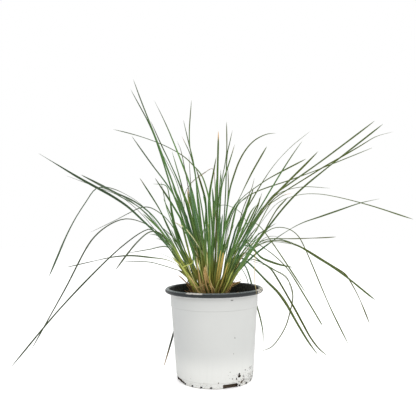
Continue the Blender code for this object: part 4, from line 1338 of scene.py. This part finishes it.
def leaf_finish(key):
    """Fine veins along the blade, a bloom over it, painted shade on one flank, painted highlights along the
    margins, a dry foot with painted shade along its edges and painted shadow at its root, and, on some, a dry
    tip.
    """
    _, dark, light, sheath, dry_tips = LEAF_COLOURS[key]
    finish = Finish(f"leaf_{key}", 0.5, 0.14)
    times, ramp, over, blend = finish.times, finish.ramp, finish.over, finish.blend
    share, across, _ = finish.split(finish.add("ShaderNodeUVMap", uv_map="UVMap").outputs[0])
    place = finish.place()
    x = finish.split(place)[0]
    from_root, tone = finish.attribute("from_root"), finish.attribute("tone")
    lanes = finish.join(times(across, 22.0), times(from_root, 30.0), times(tone, 40.0))
    veins = finish.noise(lanes, 1.0, 2.0)

    # Blade: veins, bloom in patches, paler midrib
    finish.tint = blend(ramp(veins, 0.3, 0.7), dark, light)
    over(times(ramp(finish.noise(place, 55.0, 3.0), 0.35, 0.75), ramp(tone, 0.0, 1.0, 0.15, 0.7)), light)
    over(ramp(tone, 0.0, 0.6, 0.65, 0.0), dark)
    edge = finish.off(across, 0.5)
    over(ramp(edge, 0.0, 0.05, 0.5, 0.0), light)
    if key in ("blue", "green", "fresh", "dry", "burnt", "olive"):
        old = blend(ramp(x, -0.13, 0.03), blend(veins, *OLD_LEFT), blend(veins, *OLD_RIGHT))
        over(old_age(finish, key, share, from_root, x), old)

    # One flank in painted shade, painted highlights along the margins, a younger start
    over(ramp(across, 0.42, 0.58, 0.0, 0.40), [0.6 * value for value in dark])
    over(ramp(edge, 0.46, 0.495, 0.0, 0.45), light)
    over(ramp(from_root, 0.07, 0.16, 0.42, 0.0), light)

    # Foot: sheath, dry streaks, painted shade along the sheath edges, and painted shadow at the very root
    foot_end = finish.plus(times(tone, 0.048), 0.040, ramp(x, -0.010, 0.030, 0.012, -0.010))
    ragged = finish.plus(from_root, times(finish.maths("SUBTRACT", veins, 0.5), 0.04))
    up_foot = finish.maths("DIVIDE", ragged, foot_end)
    footed = ramp(up_foot, 0.3, 1.5, 1.0, 0.0)
    over(footed, blend(ramp(finish.part(tone, 3.9), 0.25, 0.75), [0.62 * value for value in sheath], sheath))
    dryness = ramp(finish.part(tone, 7.3), 0.35, 0.9, 0.0, 0.85)
    over(times(ramp(up_foot, 0.05, 0.75, 1.0, 0.0), dryness), blend(ramp(veins, 0.38, 0.62), *DRY_STREAKS))
    # Painted shade along the edges of each sheath
    over(times(ramp(edge, 0.30, 0.47, 0.0, 0.36), footed), [0.7 * value for value in dark])
    # Painted shadow at the very root of each leaf
    over(ramp(from_root, 0.006, 0.022, 0.2 if key == "straw" else 0.5, 0.0), ROOT_SHADOW)

    # Tip: dead on some leaves
    chosen = ramp(finish.part(tone, 13.7), dry_tips, dry_tips + 0.02, 1.0, 0.0)
    tip = ramp(share, 0.84 if key == "faded" else 0.93, 0.975)
    over(times(tip, chosen), DEAD_TIPS.get(key, USUAL_DEAD_TIP))
    finish.bump(veins, 0.00018, 0.7)
    return finish.done(ramp(veins, 0.3, 0.7, 0.58, 0.44))


def make_plant():
    finishes = {key: leaf_finish(key) for key in LEAF_COLOURS}
    leaf_blank, thin_blank, short_blank = (make_blank(*grid) for grid in (LEAF_GRID, THIN_GRID, SHORT_GRID))
    make_frame_leaves(leaf_blank, finishes)
    make_traced_leaves(thin_blank, finishes, THIN_LEAVES, "thin", 31)
    make_traced_leaves(thin_blank, finishes, MIDDLE_LEAVES, "middle", 37)
    make_traced_leaves(thin_blank, finishes, FOOT_STRANDS, "foot", 41)
    make_inner_leaves(short_blank, finishes)
    make_crown(short_blank, finishes)
    discard(leaf_blank, thin_blank, short_blank)


make_camera()
make_studio()
make_pot()
make_soil()
make_stuck_crumbs()
make_plant()

bpy.context.view_layer.update()
